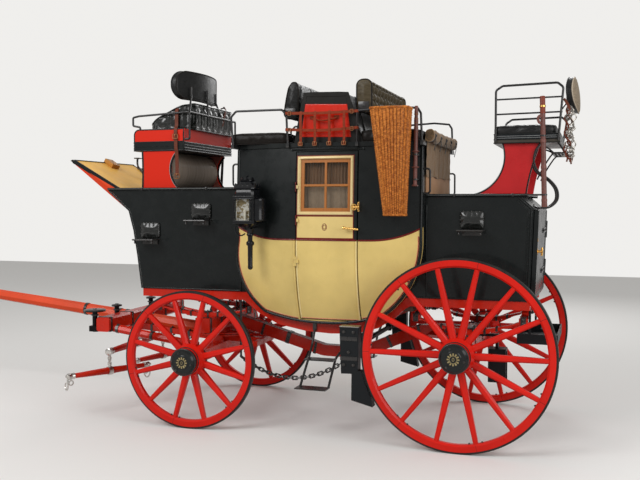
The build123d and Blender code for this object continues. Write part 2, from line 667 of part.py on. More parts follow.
def save_roof_irons():
    """Roof seat rails on their feet, and the grab handles at the cabin's corners."""
    foot_high = ROOF_EDGE + 20
    ledge = (roof_body(FIT_GAP, ROOF_THICK - FIT_GAP, 120)
             - roof_body(-60, ROOF_THICK + 60.3, 10.3))
    groups = []
    for side in (LEFT, RIGHT):
        y = side * RAIL_HALF
        front = rod([(-1690, y, foot_high), (-1704, y, 2320), (-1664, y, 2360), (-1300, y, 2360),
                     (-1266, y, 2320), (-1256, y, foot_high)], 24, RAIL_R)
        rear = rod([(-734, y, foot_high), (-734, y, 2334), (-425, y, 2350), (-300, y, 2336),
                    (-278, y, 2300), (-270, y, foot_high)], 10, RAIL_R)
        for rail, ends, arm_x, arm_z in ((front, (-1690, -1256), -1314, 2360),
                                         (rear, (-734, -270), -712, 2336)):
            for x in ends:
                y0, y1 = sorted((side * 530, y + side * 10))
                rail = rail + (box(x - 11, x + 11, y0, y1, ROOF_EDGE, ROOF_EDGE + 60) & ledge)
            y0, y1 = sorted((side * (BACK_ROLL_HALF + FIT_GAP), y))
            groups.append(rail + box(arm_x - 8, arm_x + 8, y0, y1, arm_z - 6, arm_z + 6))
        for x_wall, away, z_low, z_high in ((CABIN_FRONT, -1, 1812, 1976),
                                            (CABIN_REAR, 1, 1752, 1924)):
            y_bar = side * 520
            reach = x_wall + away * 44
            start = x_wall + away * FIT_GAP
            groups.append(rod([(start, y_bar, z_low), (reach, y_bar, z_low),
                               (reach, y_bar, z_high), (start, y_bar, z_high)], 20, 7))
    save("roof_irons", solids(*groups))


def save_seat_irons():
    """Rails round the box seat and the hind seat, with the irons of the two back pads."""
    rail_y = BOX_HALF - 12
    shapes = []
    for side in (LEFT, RIGHT):
        y = side * rail_y
        shapes.append(rod([(-2590, y, BOX_TOP + FIT_GAP), (-2590, y, BOX_TOP + 18),
                           (-2654, y, BOX_TOP + 30), (-2654, y, BOX_TOP + 96),
                           (-2600, y, BOX_TOP + 106), (BOX_BAR_X, y, BOX_BAR_Z),
                           (BOX_BAR_X, y, BOX_BASE + 90),
                           (BOX_REAR + FIT_GAP, y, BOX_BASE + 90)], 12, RAIL_R))
    shapes.append(rod([(BOX_BAR_X, -rail_y, BOX_BAR_Z), (BOX_BAR_X, rail_y, BOX_BAR_Z)], 0, 7))
    bow_r = (BOX_PAD_HALF ** 2 + BOX_PAD_BOW ** 2) / (2 * BOX_PAD_BOW)
    bow_centre = BOX_BAR_X - RAIL_R - FIT_GAP - bow_r
    for foot_y, head in ((-rail_y, -220), (BOX_PAD_Y, 0), (150, 220)):
        head_x = bow_centre + math.sqrt((bow_r + RAIL_R + FIT_GAP) ** 2 - head ** 2)
        head_y = BOX_PAD_Y + head
        post = [(BOX_BAR_X, foot_y, BOX_BAR_Z), (head_x, head_y, BOX_PAD_LOW + 25),
                (head_x, head_y, BOX_PAD_LOW + 95)]
        if head == 0:
            post.pop(1)
        shapes.append(rod(post, 20, RAIL_R))
    box_rail = fuse(*shapes)

    rail_y = GUARD_HALF + RAIL_R + FIT_GAP
    back_x = 648
    bar_x = GUARD_PAD_X - 7 - FIT_GAP
    shapes = []
    for side, top, bars in ((LEFT, 2500, (2406, 2303)), (RIGHT, 2330, ())):
        y = side * rail_y
        shapes.append(rod([(194, y, GUARD_BASE + 16), (194, y, top - 30), (240, y, top),
                           (610, y, top + 8), (back_x, y, top - 24), (618, y, GUARD_BASE + 16)],
                          26, RAIL_R))
        for level in bars:
            shapes.append(rod([(194, y, level), (back_x - 4, y, level + 6)], 0, 6))
    shapes.append(rod([(back_x - 6, -rail_y, 2330), (bar_x, -120, 2400), (bar_x, 120, 2400),
                       (back_x - 6, rail_y, 2300)], 30, 7))
    for y in (-90, 90):
        shapes.append(rod([(bar_x, y, 2396), (bar_x, y, 2520)], 0, 7))
    save("seat_irons", solids(box_rail, fuse(*shapes)))


# Things carried on the roof and body

def save_luggage():
    """The leather trunk between the two roof seats."""
    points = [(-1203, 2060), (-1133, 2466), (-817, 2458), (-705, 2060)]
    trunk = polygon_prism(points, -596, 596)
    save("luggage_box", trunk - roof_body(-200, ROOF_THICK + 200.3, 60))


def save_basket():
    """The tall wicker basket for sticks and umbrellas, hung beside the rear roof seat."""
    top_z = 2330
    base_z = 1596
    levels = ((base_z, -443, -690, 77, 52), (top_z, -464, -730, 136, 84))
    outside = []
    inside = []
    wall = 9.0
    for z, x, y, half_x, half_y in levels:
        at = Plane(origin=(x, y, z))
        outside.append(at * RectangleRounded(2 * half_x, 2 * half_y, 40))
        inside.append(at * RectangleRounded(2 * (half_x - wall), 2 * (half_y - wall), 32))
    shell = loft(outside, ruled=True) - (Pos(0, 0, wall) * loft(inside, ruled=True))
    side_room = swept_side(-FIT_GAP, WALL + 300)
    for level in (1700, 1990):
        shell = shell + (box(-480, -440, -646, -520, level, level + 20) - side_room)
    save("umbrella_basket", shell)


def save_cases():
    """Two long leather cases: the coach horn's beside the basket, and a whip case at the rear."""
    horn = tapered_bar((-306, -680, 1799), (-302, -668, 2180), 17, 15)
    horn = horn + tapered_bar((-302, -668, 2178), (-300, -668, 2346), 15, 21)
    for level in (1810, 1928, 2036):
        horn = horn + Pos(-305, -677, level) * Cylinder(24, 10)
    side_room = swept_side(-FIT_GAP, WALL + 300)
    for level in (1840, 2010):
        horn = horn + (box(-314, -298, -674, -500, level, level + 10) - side_room)
    whip = tapered_bar((540, -500, 1660), (520, -500, 2400), 19, 16)
    for level in (1700, 2060, 2340):
        whip = whip + Pos(537, -500, level) * Cylinder(23, 12)
    lid_edge = -BOOT_HALF - MOULDING - FIT_GAP
    lower_hook = box(380, 546, -488, lid_edge, REAR_BOOT_TOP + 1, REAR_BOOT_TOP + 13)
    upper_hook = box(514, 538, -492, -GUARD_HALF - FIT_GAP, 2130, 2140)
    save("horn_cases", solids(horn, fuse(whip, lower_hook, upper_hook)))


def save_canvas():
    """A rolled weather apron along the cabin's rear edge, with a sheet hanging below it."""
    y_half = 500
    roll = pillow(CANVAS_FRONT, CANVAS_FRONT + 72, -y_half, y_half, 2108, 2206, 30)
    sheet = box(CABIN_REAR + 11, CABIN_REAR + 19, -y_half, y_half, 1870, 2140)
    save("canvas_apron", fuse(roll, sheet) - roof_body(-60, ROOF_THICK + 60.3, 10.3))


def save_lamps():
    """Two candle lamps on brackets at the cabin's front corners."""
    bodies = []
    glasses = []
    x0, x1 = -1618.0, -1470.0
    z0, z1 = 1540.0, 1728.0
    out = 640.0
    depth = 150.0
    thick = 8.0
    y0, y1 = -out - depth, -out
    mid_y = (y0 + y1) / 2
    mid_x = (x0 + x1) / 2
    case = box(x0, x1, y0, y1, z0, z1)
    back = Plane(origin=(x1, mid_y, z0), z_dir=(0, 0, 1)).location * Cylinder(
        depth / 2, z1 - z0, align=(Align.CENTER, Align.CENTER, Align.MIN))
    case = case + back
    case = case - box(x0 + thick, x1 - thick, y0 + thick, y1 - thick, z0 + thick, z1 - thick)
    side_glass = box(x0 + 12, x1 - 12, y0 - 1, y0 + thick + 1, z0 + 14, z1 - 14)
    front_glass = box(x0 - 1, x0 + thick + 1, y0 + 14, y1 - 14, z0 + 14, z1 - 14)
    case = case - side_glass - front_glass
    panes = [box(x0 + 12.3, x1 - 12.3, y0 + 2, y0 + 6, z0 + 14.3, z1 - 14.3),
             box(x0 + 2, x0 + 6, y0 + 14.3, y1 - 14.3, z0 + 14.3, z1 - 14.3)]
    hood_base = Plane(origin=(mid_x, mid_y, z1 - 1))
    hood = loft([hood_base * Rectangle(x1 - x0 + 14, depth + 14),
                 hood_base.offset(48) * Rectangle(86, 86)], ruled=True)
    hood = hood + Pos(mid_x, mid_y, z1 + 64) * Cylinder(38, 40)
    hood = hood + Pos(mid_x, mid_y, z1 + 96) * Cone(50, 22, 34)
    hood = hood + Pos(mid_x, mid_y, z1 + 124) * Cylinder(22, 30)
    hood = hood + Pos(mid_x, mid_y, z1 + 146) * Sphere(16)
    foot = Pos(mid_x + 20, mid_y, z0 - 12) * Cylinder(44, 26)
    stem = Pos(mid_x + 20, mid_y, 1372) * Cylinder(17, 330)
    tail = Pos(mid_x + 20, mid_y, 1208) * Sphere(20)
    bracket = fuse(box(mid_x + 8, mid_x + 32, mid_y, -570, 1500, 1512),
                   box(mid_x + 8, mid_x + 32, mid_y, -570, 1640 - 40, 1612))
    shell_left = swept_side(-0.3, WALL + 300)
    lamp = fuse(case, hood, foot, stem, tail, bracket) - shell_left
    candle = Pos(mid_x, mid_y, z0 + 60) * Cylinder(11, 100)
    lamp = lamp + candle
    panes_left = solids(*panes)
    save("lamp_bodies", solids(lamp, mirrored(lamp)))
    save("lamp_glasses", solids(panes_left, mirrored(panes_left)))


def save_steps():
    """Iron steps: leather-topped treads on the boots, hanging step frames under the doors."""
    irons = []
    pads = []
    table = ((-2482, 1393), (-2034, 1546), (53, 1490))
    for x_mid, plate_z in table:
        for side in (LEFT, RIGHT):
            wall_y = side * (BOOT_HALF + FIT_GAP)
            y0, y1 = sorted((wall_y, wall_y + side * 130))
            plate = box(x_mid - 90, x_mid + 90, y0, y1, plate_z, plate_z + 8)
            y0, y1 = sorted((wall_y, wall_y + side * 14))
            web = box(x_mid - 66, x_mid + 66, y0, y1, plate_z - 34, plate_z + 1)
            irons.append(plate + web)
            y0, y1 = sorted((wall_y, wall_y + side * 22))
            pads.append(box(x_mid - 86, x_mid + 86, y0, y1, plate_z + 8.4, plate_z + 140))
    beam_face = BEAM_HALF + BEAM_WIDTH / 2 + FIT_GAP
    for side in (LEFT, RIGHT):
        y_hang = side * (beam_face + 9)
        y_tread = side * 600
        frame = []
        for x_top, x_mid, x_low in ((-1104, -1104, -1160), (-852, -900, -945)):
            frame.append(rod([(x_top, y_hang, 744), (x_top, y_hang + side * 60, 640),
                              (x_mid, y_tread, 560), (x_low, y_tread + side * 30, 352)], 30, 9))
            y0, y1 = sorted((side * beam_face, y_hang + side * 4))
            frame.append(box(x_top - 14, x_top + 14, y0, y1, 738, 790))
        y0, y1 = sorted((y_tread - side * 8, y_tread + side * 92))
        frame.append(box(-1112, -892, y0, y1, 552, 560))
        y0, y1 = sorted((y_tread + side * 22, y_tread + side * 130))
        frame.append(box(-1172, -936, y0, y1, 346, 354))
        irons.append(fuse(*frame))
    save("steps", solids(*irons))
    save("step_pads", solids(*pads))


# Underframe that stays with the body

def save_perch():
    """The S-curved perch with the front transom and its upper turning plate."""
    points = [(-2031, 748), (-1900, 716), (-1478, 596), (-1180, 512), (-880, 508), (-407, 705),
              (-240, 716), (0, 716)]
    path = FilletPolyline(*[(x, 0, z) for x, z in points], radius=(60, 120, 200, 260, 260, 160))
    start = Plane(origin=path @ 0, x_dir=(0, 1, 0), z_dir=path % 0)
    perch = sweep(start * Rectangle(74, 88), path=path)
    bolt_x = -WHEELBASE
    transom = box(bolt_x - 60, bolt_x + 60, -470, 470, 672, 786)
    plate = Pos(bolt_x, 0, 632) * (Cylinder(TURN_PLATE_R, 12) - Cylinder(TURN_PLATE_R - 44, 14))
    blocks = [box(bolt_x - 40, bolt_x + 40, side * 208 - 60, side * 208 + 60, 637, 673)
              for side in (LEFT, RIGHT)]
    centre = box(bolt_x - 50, bolt_x + 50, -60, 60, 630, 673)
    shapes = [perch, transom, plate, centre, *blocks]
    for side in (LEFT, RIGHT):
        shapes.append(tapered_bar((-330, side * 20, 680), (-30, side * 330, 716), 26, 26, 4))
    bed_room = box(-46 - FIT_GAP, 47, -640, 640, 600, 770)
    save("perch", fuse(*shapes) - bed_room)


def leaf_stack(middle, half, rise, leaves, along_x):
    """A leaf spring through a middle point, its ends raised by rise, the short leaves outside."""
    away = -1 if rise > 0 else 1
    stack = []
    for number in range(leaves):
        share = 1.0 - 0.2 * number
        reach = half * share
        lift = rise * share * share
        low = away * LEAF_STEP * number
        high = low + LEAF_THICK
        edges = [ThreePointArc((-reach, low + lift), (0, low), (reach, low + lift)),
                 Line((reach, low + lift), (reach, high + lift)),
                 ThreePointArc((reach, high + lift), (0, high), (-reach, high + lift)),
                 Line((-reach, high + lift), (-reach, low + lift))]
        stack.append(side_prism(Wire(edges), -LEAF_WIDTH / 2, LEAF_WIDTH / 2))
    spring = fuse(*stack)
    if not along_x:
        spring = Rot(0, 0, 90) * spring
    return Pos(*middle) * spring


def spring_set(middle_x, half, seat_z):
    """Two long springs on an axle bed and two cross springs hung from their ends."""
    side_y = 350.0
    end_z = 852.0
    leaves = 4
    middle_z = seat_z + LEAF_STEP * (leaves - 1)
    cross_z = BEAM_BASE - 62
    block_top = BEAM_BASE + 4 - FIT_GAP
    shapes = []
    for side in (LEFT, RIGHT):
        shapes.append(leaf_stack((middle_x, side * side_y, middle_z), half, end_z - middle_z,
                                 leaves, True))
    for away in (-1, 1):
        x = middle_x + away * half
        shapes.append(leaf_stack((x, 0, cross_z), side_y, end_z - cross_z, leaves, False))
        shapes.append(box(x - 34, x + 34, -60, 60, cross_z + 20, block_top))
        for side in (LEFT, RIGHT):
            shapes.append(box(x - 30, x + 30, side * side_y - 30, side * side_y + 30,
                              end_z - 20, end_z + 24))
    return fuse(*shapes)


def save_springs():
    """Front and rear spring sets, between the axle beds and the beams."""
    front = spring_set(FRONT_SPRING_X, FRONT_SPRING_HALF, 786 + FIT_GAP)
    rear = spring_set(REAR_SPRING_X, REAR_SPRING_HALF, 752 + FIT_GAP)
    save("springs", solids(front, rear))
    arm, bed = axle(REAR_WHEEL_R, 42, 752)
    save("rear_axle", fuse(arm, bed))


def save_brake():
    """Brake blocks ahead of the rear wheels on a cross shaft, and the hand lever on the box."""
    shapes = [rod([(-762, -790, SHAFT_Z), (-762, 790, SHAFT_Z)], 0, 19)]
    for side in (LEFT, RIGHT):
        y0, y1 = sorted((side * (TRACK_HALF - 42), side * (TRACK_HALF + 30)))
        shapes.append(polygon_prism([(-812, 822), (-672, 822), (-676, 700), (-678, 500),
                                     (-800, 496)], y0, y1))
        shapes.append(polygon_prism([(-724, 520), (-640, 520), (-600, 400), (-573, 275),
                                     (-726, 313)], y0, y1))
        hang_y = side * BEAM_HALF
        shapes.append(box(-784, -740, hang_y - 14, hang_y + 14, SHAFT_Z - 26, 727.6))
    tyre_room = Plane(origin=(0, -900, REAR_WHEEL_R), z_dir=(0, 1, 0)).location * Cylinder(
        REAR_WHEEL_R + MOVE_GAP + 2, 1800, align=(Align.CENTER, Align.CENTER, Align.MIN))
    links, tail = drag_chain_links()
    hook = rod([tail, (-762, CHAIN_END[1], SHAFT_Z)], 0, 7)
    gear = fuse(*shapes, links[-1], hook) - tyre_room
    lever_y = BOOT_HALF + MOULDING + 12
    quadrant = box(-2420, -2240, BOOT_HALF + FIT_GAP, BOOT_HALF + 8, 1560, 1640)
    lever = tapered_bar((-2330, BOOT_HALF + 20, 1570), (-2300, lever_y + 20, 2290), 14, 11)
    pivot = Plane(origin=(-2328, BOOT_HALF + 14, 1600), z_dir=(0, 1, 0)).location * Cylinder(22, 27)
    grip = tapered_bar((-2300, lever_y + 20, 2286), (-2296, lever_y + 20, 2400), 17, 15)
    save("brake_gear", solids(gear, fuse(quadrant, pivot, lever, grip)))


def chain_link(at, direction, flat):
    """One long eight-sided link of six-sided iron, lying flat or on edge."""
    length, width, iron = CHAIN_LINK
    half_l = length / 2 - iron / 2
    half_w = width / 2 - iron / 2
    cut = half_w * 0.55
    outline = [(0, -half_w), (half_l - cut, -half_w), (half_l, -half_w + cut),
               (half_l, half_w - cut), (half_l - cut, half_w), (-half_l + cut, half_w),
               (-half_l, half_w - cut), (-half_l, -half_w + cut), (-half_l + cut, -half_w),
               (0, -half_w)]
    along = Vector(*direction).normalized()
    across = Vector(0, 1, 0) if flat else Vector(0, 0, 1)
    across = (across - along * across.dot(along)).normalized()
    seat = Plane(origin=at, x_dir=along, z_dir=along.cross(across))
    path = Wire([Line(first, second) for first, second in zip(outline, outline[1:])])
    start = Plane(origin=(0, -half_w, 0), x_dir=(0, 1, 0), z_dir=(1, 0, 0))
    ring = sweep(start * RegularPolygon(iron / 2, 6), path=path, transition=Transition.RIGHT)
    return seat.location * ring


def chain_joints(start, end, sag, pitch):
    """Where links of one pitch hook together along a sagging line."""
    steps = 400
    points = []
    for number in range(steps + 1):
        share = number / steps
        drop = 4 * sag * share * (1 - share)
        points.append(Vector(*start) * (1 - share) + Vector(*end) * share - Vector(0, 0, drop))
    joints = [points[0]]
    for point in points:
        if (point - joints[-1]).length >= pitch:
            step = (point - joints[-1]).normalized()
            joints.append(joints[-1] + step * pitch)
    return joints


def drag_chain_links():
    """The drag chain's links, and the point where the last one ends."""
    joints = chain_joints(CHAIN_START, CHAIN_END, CHAIN_SAG, CHAIN_PITCH)
    links = []
    for number, (first, second) in enumerate(zip(joints, joints[1:])):
        links.append(chain_link((first + second) * 0.5, second - first, number % 2 == 0))
    return links, joints[-1]


def save_chain():
    """The drag chain slung low on the near side, its first link on a hanging iron."""
    links, tail = drag_chain_links()
    x, y, z = CHAIN_START
    hanger = rod([(x, y, z), (x, y, BEAM_BASE - 4)], 0, 8)
    links[0] = fuse(links[0], hanger)
    save("drag_chain", solids(*links[:-1]))


def save_hind_gear():
    """The drag shoe hung behind the rear axle and the shallow tray under the rear boot."""
    shoe = box(120, 250, -60, 60, 350, 600) - box(140, 251, -38, 38, 340, 580)
    hanger = box(170, 190, -30, 30, 599, 706)
    arm = box(46 + FIT_GAP, 190, -14, 14, 686, 706)
    tray = box(350, 630, -300, 300, 690, 760) - box(358, 622, -292, 292, 700, 761)
    stays = [box(430, 446, side * 290 - 8, side * 290 + 8, 755, BEAM_BASE + 4 - FIT_GAP)
             for side in (LEFT, RIGHT)]
    save("hind_gear", solids(fuse(shoe, hanger, arm), fuse(tray, *stays)))


# Front carriage, drawn straight ahead about the perch bolt

def save_front_carriage():
    """The steered carriage: axle, futchells with splinter bar, pole, bars and their irons."""
    arm, bed = axle(FRONT_WHEEL_R, 40, 560)
    perch_bolt = Pos(0, 0, 594.5) * Cylinder(16, 70)
    save("front_axle", steered(fuse(arm, bed, perch_bolt)))

    beams = []
    bed_top = 560 + FIT_GAP
    for side in (LEFT, RIGHT):
        y0, y1 = sorted((side * 68, side * 118))
        beams.append(polygon_prism([(-860, 632), (-860, 690), (-256, 618), (60, 612), (360, 594),
                                    (360, 546), (60, bed_top), (-60, bed_top)], y0, y1))
        stay = tapered_bar((-775, side * 600, 712), (-20, side * 560, 590), 34, 30, 8)
        beams.append(stay - box(-60, 60, -640, 640, 470, bed_top))
    sway = box(318, 358, -270, 270, 550, 590)
    ring = Pos(0, 0, 615) * (Cylinder(TURN_PLATE_R, 10) - Cylinder(TURN_PLATE_R - 44, 12))
    rests = [box(-36, 36, side * 208 - 22, side * 208 + 22, bed_top, 612)
             for side in (LEFT, RIGHT)]
    splinter = box(-826, -716, -680, 680, 681, 792)
    splinter = chamfer(splinter.edges().filter_by(Axis.Y), 14)
    pole_room = tapered_bar((-250, 0, 639.3), (-1200, 0, 746.3), 56.6, 51.8, 8)
    save("futchells", steered(fuse(*beams, sway, ring, *rests, splinter) - pole_room))

    slope = (1012.0 - 639.3) / (POLE_TIP_REACH - 250.0)
    pole = tapered_bar((-250, 0, 639.3), (-POLE_TIP_REACH + 40, 0, 1012 - 40 * slope), 56, 38, 8)
    end_iron = Pos(-POLE_TIP_REACH + 70, 0, 1005) * Rot(0, 90, 0) * Cylinder(43, 60)
    tip = Pos(-POLE_TIP_REACH + 20, 0, 1010) * Rot(0, 90, 0) * Cone(POLE_TIP_R, 34, 40)
    save("pole", steered(fuse(pole, end_iron, tip)))

    bars = [tapered_bar((-840, 0, 485), (-840, side * 425, 485), 34, 24) for side in (LEFT, RIGHT)]
    main_bar = fuse(*bars)
    lead_bars = []
    irons = []
    table = ((-842, -459, 330, 27.6 + REST_LOCK), (-818, 441, 300, 14.2 + REST_LOCK))
    for x, y, z, turn in table:
        lead = fuse(tapered_bar((0, 0, 0), (0, 310, 0), 29, 20),
                    tapered_bar((0, 0, 0), (0, -310, 0), 29, 20))
        place = Pos(x, y, z) * Rot(0, 0, -turn)
        lead_bars.append(place * lead)
        for side in (LEFT, RIGHT):
            cap = Pos(0, side * 338, 0) * Rot(90, 0, 0) * Cylinder(23, 54)
            ring_seat = Plane(origin=(0, side * 338, -52), z_dir=(1, 0, 0))
            ring = ring_seat.location * (Cylinder(22, 8) - Cylinder(14, 10))
            stem = Pos(0, side * 338, -26) * Cylinder(6, 16)
            irons.append(place * fuse(cap, stem, ring))
        band = Rot(90, 0, 0) * (Cylinder(35, 36) - Cylinder(29.4, 40))
        eye = Pos(0, 0, 40) * Cylinder(9, 18)
        irons.append(place * fuse(band, eye))
    for side in (LEFT, RIGHT):
        end = Pos(-840, side * 455, 485) * Rot(90, 0, 0) * Cylinder(27, 59)
        lead = table[0] if side == LEFT else table[1]
        low = lead[2] + 49
        drop = Pos(lead[0], lead[1], (low + 480) / 2) * Cylinder(9, 480 - low - 0.4)
        irons.append(fuse(end, drop))
        for y in (side * 640, side * 300):
            plate_r = 84 if abs(y) > 500 else 42
            post = Pos(-862, y, 755) * Cylinder(20, 164)
            plate = Pos(-862, y, 838) * Cylinder(plate_r, 8)
            foot = box(-900, -826.3, y - 26, y + 26, 676, 720)
            irons.append(fuse(post, plate, foot))
    hanger = box(-856, -824, -20, 20, 519.6, 676)
    band = Plane(origin=(-840, -22, 485), z_dir=(0, 1, 0)).location * Cylinder(
        40, 44, align=(Align.CENTER, Align.CENTER, Align.MIN))
    main_room = fuse(*[tapered_bar((-840, 0, 485), (-840, side * 425, 485), 34.4, 24.4)
                       for side in (LEFT, RIGHT)])
    irons.append(fuse(band, hanger) - main_room - pole_room)
    save("swingle_bars", steered(solids(main_bar, *lead_bars)))
    save("draught_irons", steered(solids(*irons)))


save_wheels()
save_cabin()
save_boots()
save_beams()
save_footboard()
save_box_seat()
save_guard_seat()
save_cushions()
save_roof_irons()
save_seat_irons()
save_luggage()
save_basket()
save_cases()
save_canvas()
save_lamps()
save_steps()
save_perch()
save_springs()
save_brake()
save_chain()
save_hind_gear()
save_front_carriage()
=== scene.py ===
"""Looks for the road coach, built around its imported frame. Sizes here are in millimetres from the
rear axle, as in the part's source, and at() turns them into the frame's metres."""

import math
import random

import bmesh
import bpy
from mathutils import Matrix, Vector


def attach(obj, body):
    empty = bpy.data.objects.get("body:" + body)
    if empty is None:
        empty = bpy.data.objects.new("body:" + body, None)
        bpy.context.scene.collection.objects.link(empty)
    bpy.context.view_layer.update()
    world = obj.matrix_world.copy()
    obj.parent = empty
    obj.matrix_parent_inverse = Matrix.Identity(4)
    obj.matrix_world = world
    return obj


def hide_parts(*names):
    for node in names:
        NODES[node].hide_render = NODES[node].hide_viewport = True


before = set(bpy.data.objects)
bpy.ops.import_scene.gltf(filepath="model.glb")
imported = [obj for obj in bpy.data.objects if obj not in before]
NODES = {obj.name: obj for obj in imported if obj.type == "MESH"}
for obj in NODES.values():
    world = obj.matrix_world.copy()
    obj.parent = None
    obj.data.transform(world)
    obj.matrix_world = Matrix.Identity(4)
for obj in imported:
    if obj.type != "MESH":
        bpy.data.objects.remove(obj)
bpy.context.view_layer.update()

SHIFT = 2412.863
CABIN_MID = -986.0
SIDE_CENTRE_Y = 2050.0
STEER = math.radians(2.8)
WHEELBASE = 2031.0
HALF_TRACK = 762
WHEEL_RADIUS = {"front": 516, "rear": 660}
WHEELS = [f"{end}_{name}" for end in WHEEL_RADIUS for name in ("left", "right")]
BOOT_WALL, LID_EDGE = 465, 479
ROLL_X, ROLL_Z = -243, 2158
SIDES = (-1, 1)
NAMED_SIDES = ((-1, "left"), (1, "right"))
AXIS_X, AXIS_Y, AXIS_Z = Vector((1, 0, 0)), Vector((0, 1, 0)), Vector((0, 0, 1))
MM = 0.001


def at(x, y, z):
    """A point of the drawing, in the frame's metres."""
    return Vector(((x + SHIFT) * MM, y * MM, z * MM))


def steered(x, y, z):
    """A point of the front carriage, drawn straight ahead about the perch bolt."""
    c, s = math.cos(STEER), math.sin(STEER)
    return at(-WHEELBASE + c * x - s * y, s * x + c * y, z)


def heading(x, y, z):
    """A direction of the front carriage."""
    return steered(x, y, z) - steered(0, 0, 0)


# Materials

class Paint:
    """A material and the small node sums that build its colours and bumps."""

    def __init__(self, name):
        self.material = bpy.data.materials.new(name)
        self.material.use_nodes = True
        self.tree = self.material.node_tree
        self.shader = self.tree.nodes["Principled BSDF"]
        self.coords = self.tree.nodes.new("ShaderNodeTexCoord").outputs["Object"]

    def link(self, value, socket):
        if isinstance(value, bpy.types.NodeSocket):
            self.tree.links.new(value, socket)
        elif hasattr(value, "__len__") and len(value) == 3 and len(socket.default_value) == 4:
            socket.default_value = (*value, 1.0)
        else:
            socket.default_value = value

    def node(self, kind, *inputs, **settings):
        made = self.tree.nodes.new(kind)
        for key, value in settings.items():
            setattr(made, key, value)
        for index, value in enumerate(inputs):
            if value is not None:
                self.link(value, made.inputs[index])
        return made

    def math(self, operation, a, b=None, c=None):
        return self.node("ShaderNodeMath", a, b, c, operation=operation).outputs[0]

    def split(self):
        return self.node("ShaderNodeSeparateXYZ", self.coords).outputs

    def texture(self, kind, output, vector=None, settings=None, **inputs):
        node = self.node("ShaderNode" + kind, vector or self.coords, **(settings or {}))
        for key, value in inputs.items():
            node.inputs[key].default_value = value
        return node.outputs[output]

    def mapped(self, scale):
        return self.texture("Mapping", "Vector", Scale=scale)

    def noise(self, scale, detail=4.0, rough=0.55, vector=None):
        return self.texture("TexNoise", "Fac", vector, Scale=scale, Detail=detail, Roughness=rough)

    def cell_edges(self, scale):
        return self.texture("TexVoronoi", "Distance", settings={"feature": "DISTANCE_TO_EDGE"},
                            Scale=scale)

    def waves(self, scale, distortion, vector, detail, direction="X"):
        return self.texture("TexWave", "Fac", vector, {"bands_direction": direction}, Scale=scale,
                            Distortion=distortion, Detail=detail)

    def ramp(self, value, low, high, out_low=0.0, out_high=1.0):
        node = self.node("ShaderNodeMapRange", value, low, high, out_low, out_high, clamp=True)
        return node.outputs[0]

    def mix(self, share, first, second):
        node = self.node("ShaderNodeMix", data_type="RGBA")
        self.link(share, node.inputs["Factor"])
        self.link(first, node.inputs["A"])
        self.link(second, node.inputs["B"])
        return node.outputs["Result"]

    def between(self, value, low, high, soft=0.0008):
        up = self.ramp(value, low - soft, low + soft)
        down = self.ramp(value, high - soft, high + soft, 1.0, 0.0)
        return self.math("MULTIPLY", up, down)

    def both(self, a, b):
        return self.math("MULTIPLY", a, b)

    def bump(self, height, strength, distance):
        node = self.node("ShaderNodeBump")
        node.inputs["Strength"].default_value = strength
        node.inputs["Distance"].default_value = distance
        self.link(height, node.inputs["Height"])
        chained = self.shader.inputs["Normal"].links
        if chained:
            self.tree.links.new(chained[0].from_socket, node.inputs["Normal"])
        self.tree.links.new(node.outputs[0], self.shader.inputs["Normal"])

    def worn(self, colour, wear, share=0.5):
        """colour with a wear colour along the edges, broken up by noise."""
        point = self.node("ShaderNodeNewGeometry").outputs["Pointiness"]
        edge = self.ramp(point, 0.52, 0.62, 0.0, share)
        return self.mix(self.both(edge, self.noise(90.0)), colour, wear)

    def finish(self, colour, rough, metal=0.0, coat=0.0, coat_rough=0.05, sheen=0.0, specular=0.28):
        sockets = self.shader.inputs
        self.link(colour, sockets["Base Color"])
        self.link(rough, sockets["Roughness"])
        sockets["Metallic"].default_value = metal
        sockets["Coat Weight"].default_value = coat
        sockets["Coat Roughness"].default_value = coat_rough
        sockets["Sheen Weight"].default_value = sheen
        sockets["Specular IOR Level"].default_value = specular
        return self.material


RED = (0.63, 0.020, 0.006)
DARK_RED = (0.15, 0.006, 0.006)
BLACK = (0.0085, 0.0105, 0.0105)
CREAM = (0.75, 0.560, 0.195)
FRAME_CREAM = (0.80, 0.62, 0.30)
SALMON = (0.70, 0.24, 0.15)


def coach_paint(paint, colour, rough=0.22, coat=0.75, wear=None):
    """Brushed and varnished coach paint: faint colour drift, soft brush marks, dusty gloss."""
    drift = paint.noise(3.1, 3.0)
    base = paint.mix(paint.ramp(drift, 0.35, 0.65, 0.0, 0.16), colour, (0.0, 0.0, 0.0))
    grime = paint.ramp(paint.noise(38.0, 6.0, 0.7), 0.62, 0.86, 0.0, 0.10)
    base = paint.mix(grime, base, (0.16, 0.13, 0.10))
    if wear:
        base = paint.worn(base, wear)
    shine = paint.ramp(paint.noise(11.0, 5.0), 0.3, 0.75, rough - 0.06, rough + 0.16)
    paint.bump(paint.noise(26.0, 2.0), 0.016, 0.002)
    return paint.finish(base, shine, coat=coat * 0.4, coat_rough=0.06, specular=0.16)


def plain_paint(name, colour, **settings):
    return coach_paint(Paint(name), colour, **settings)


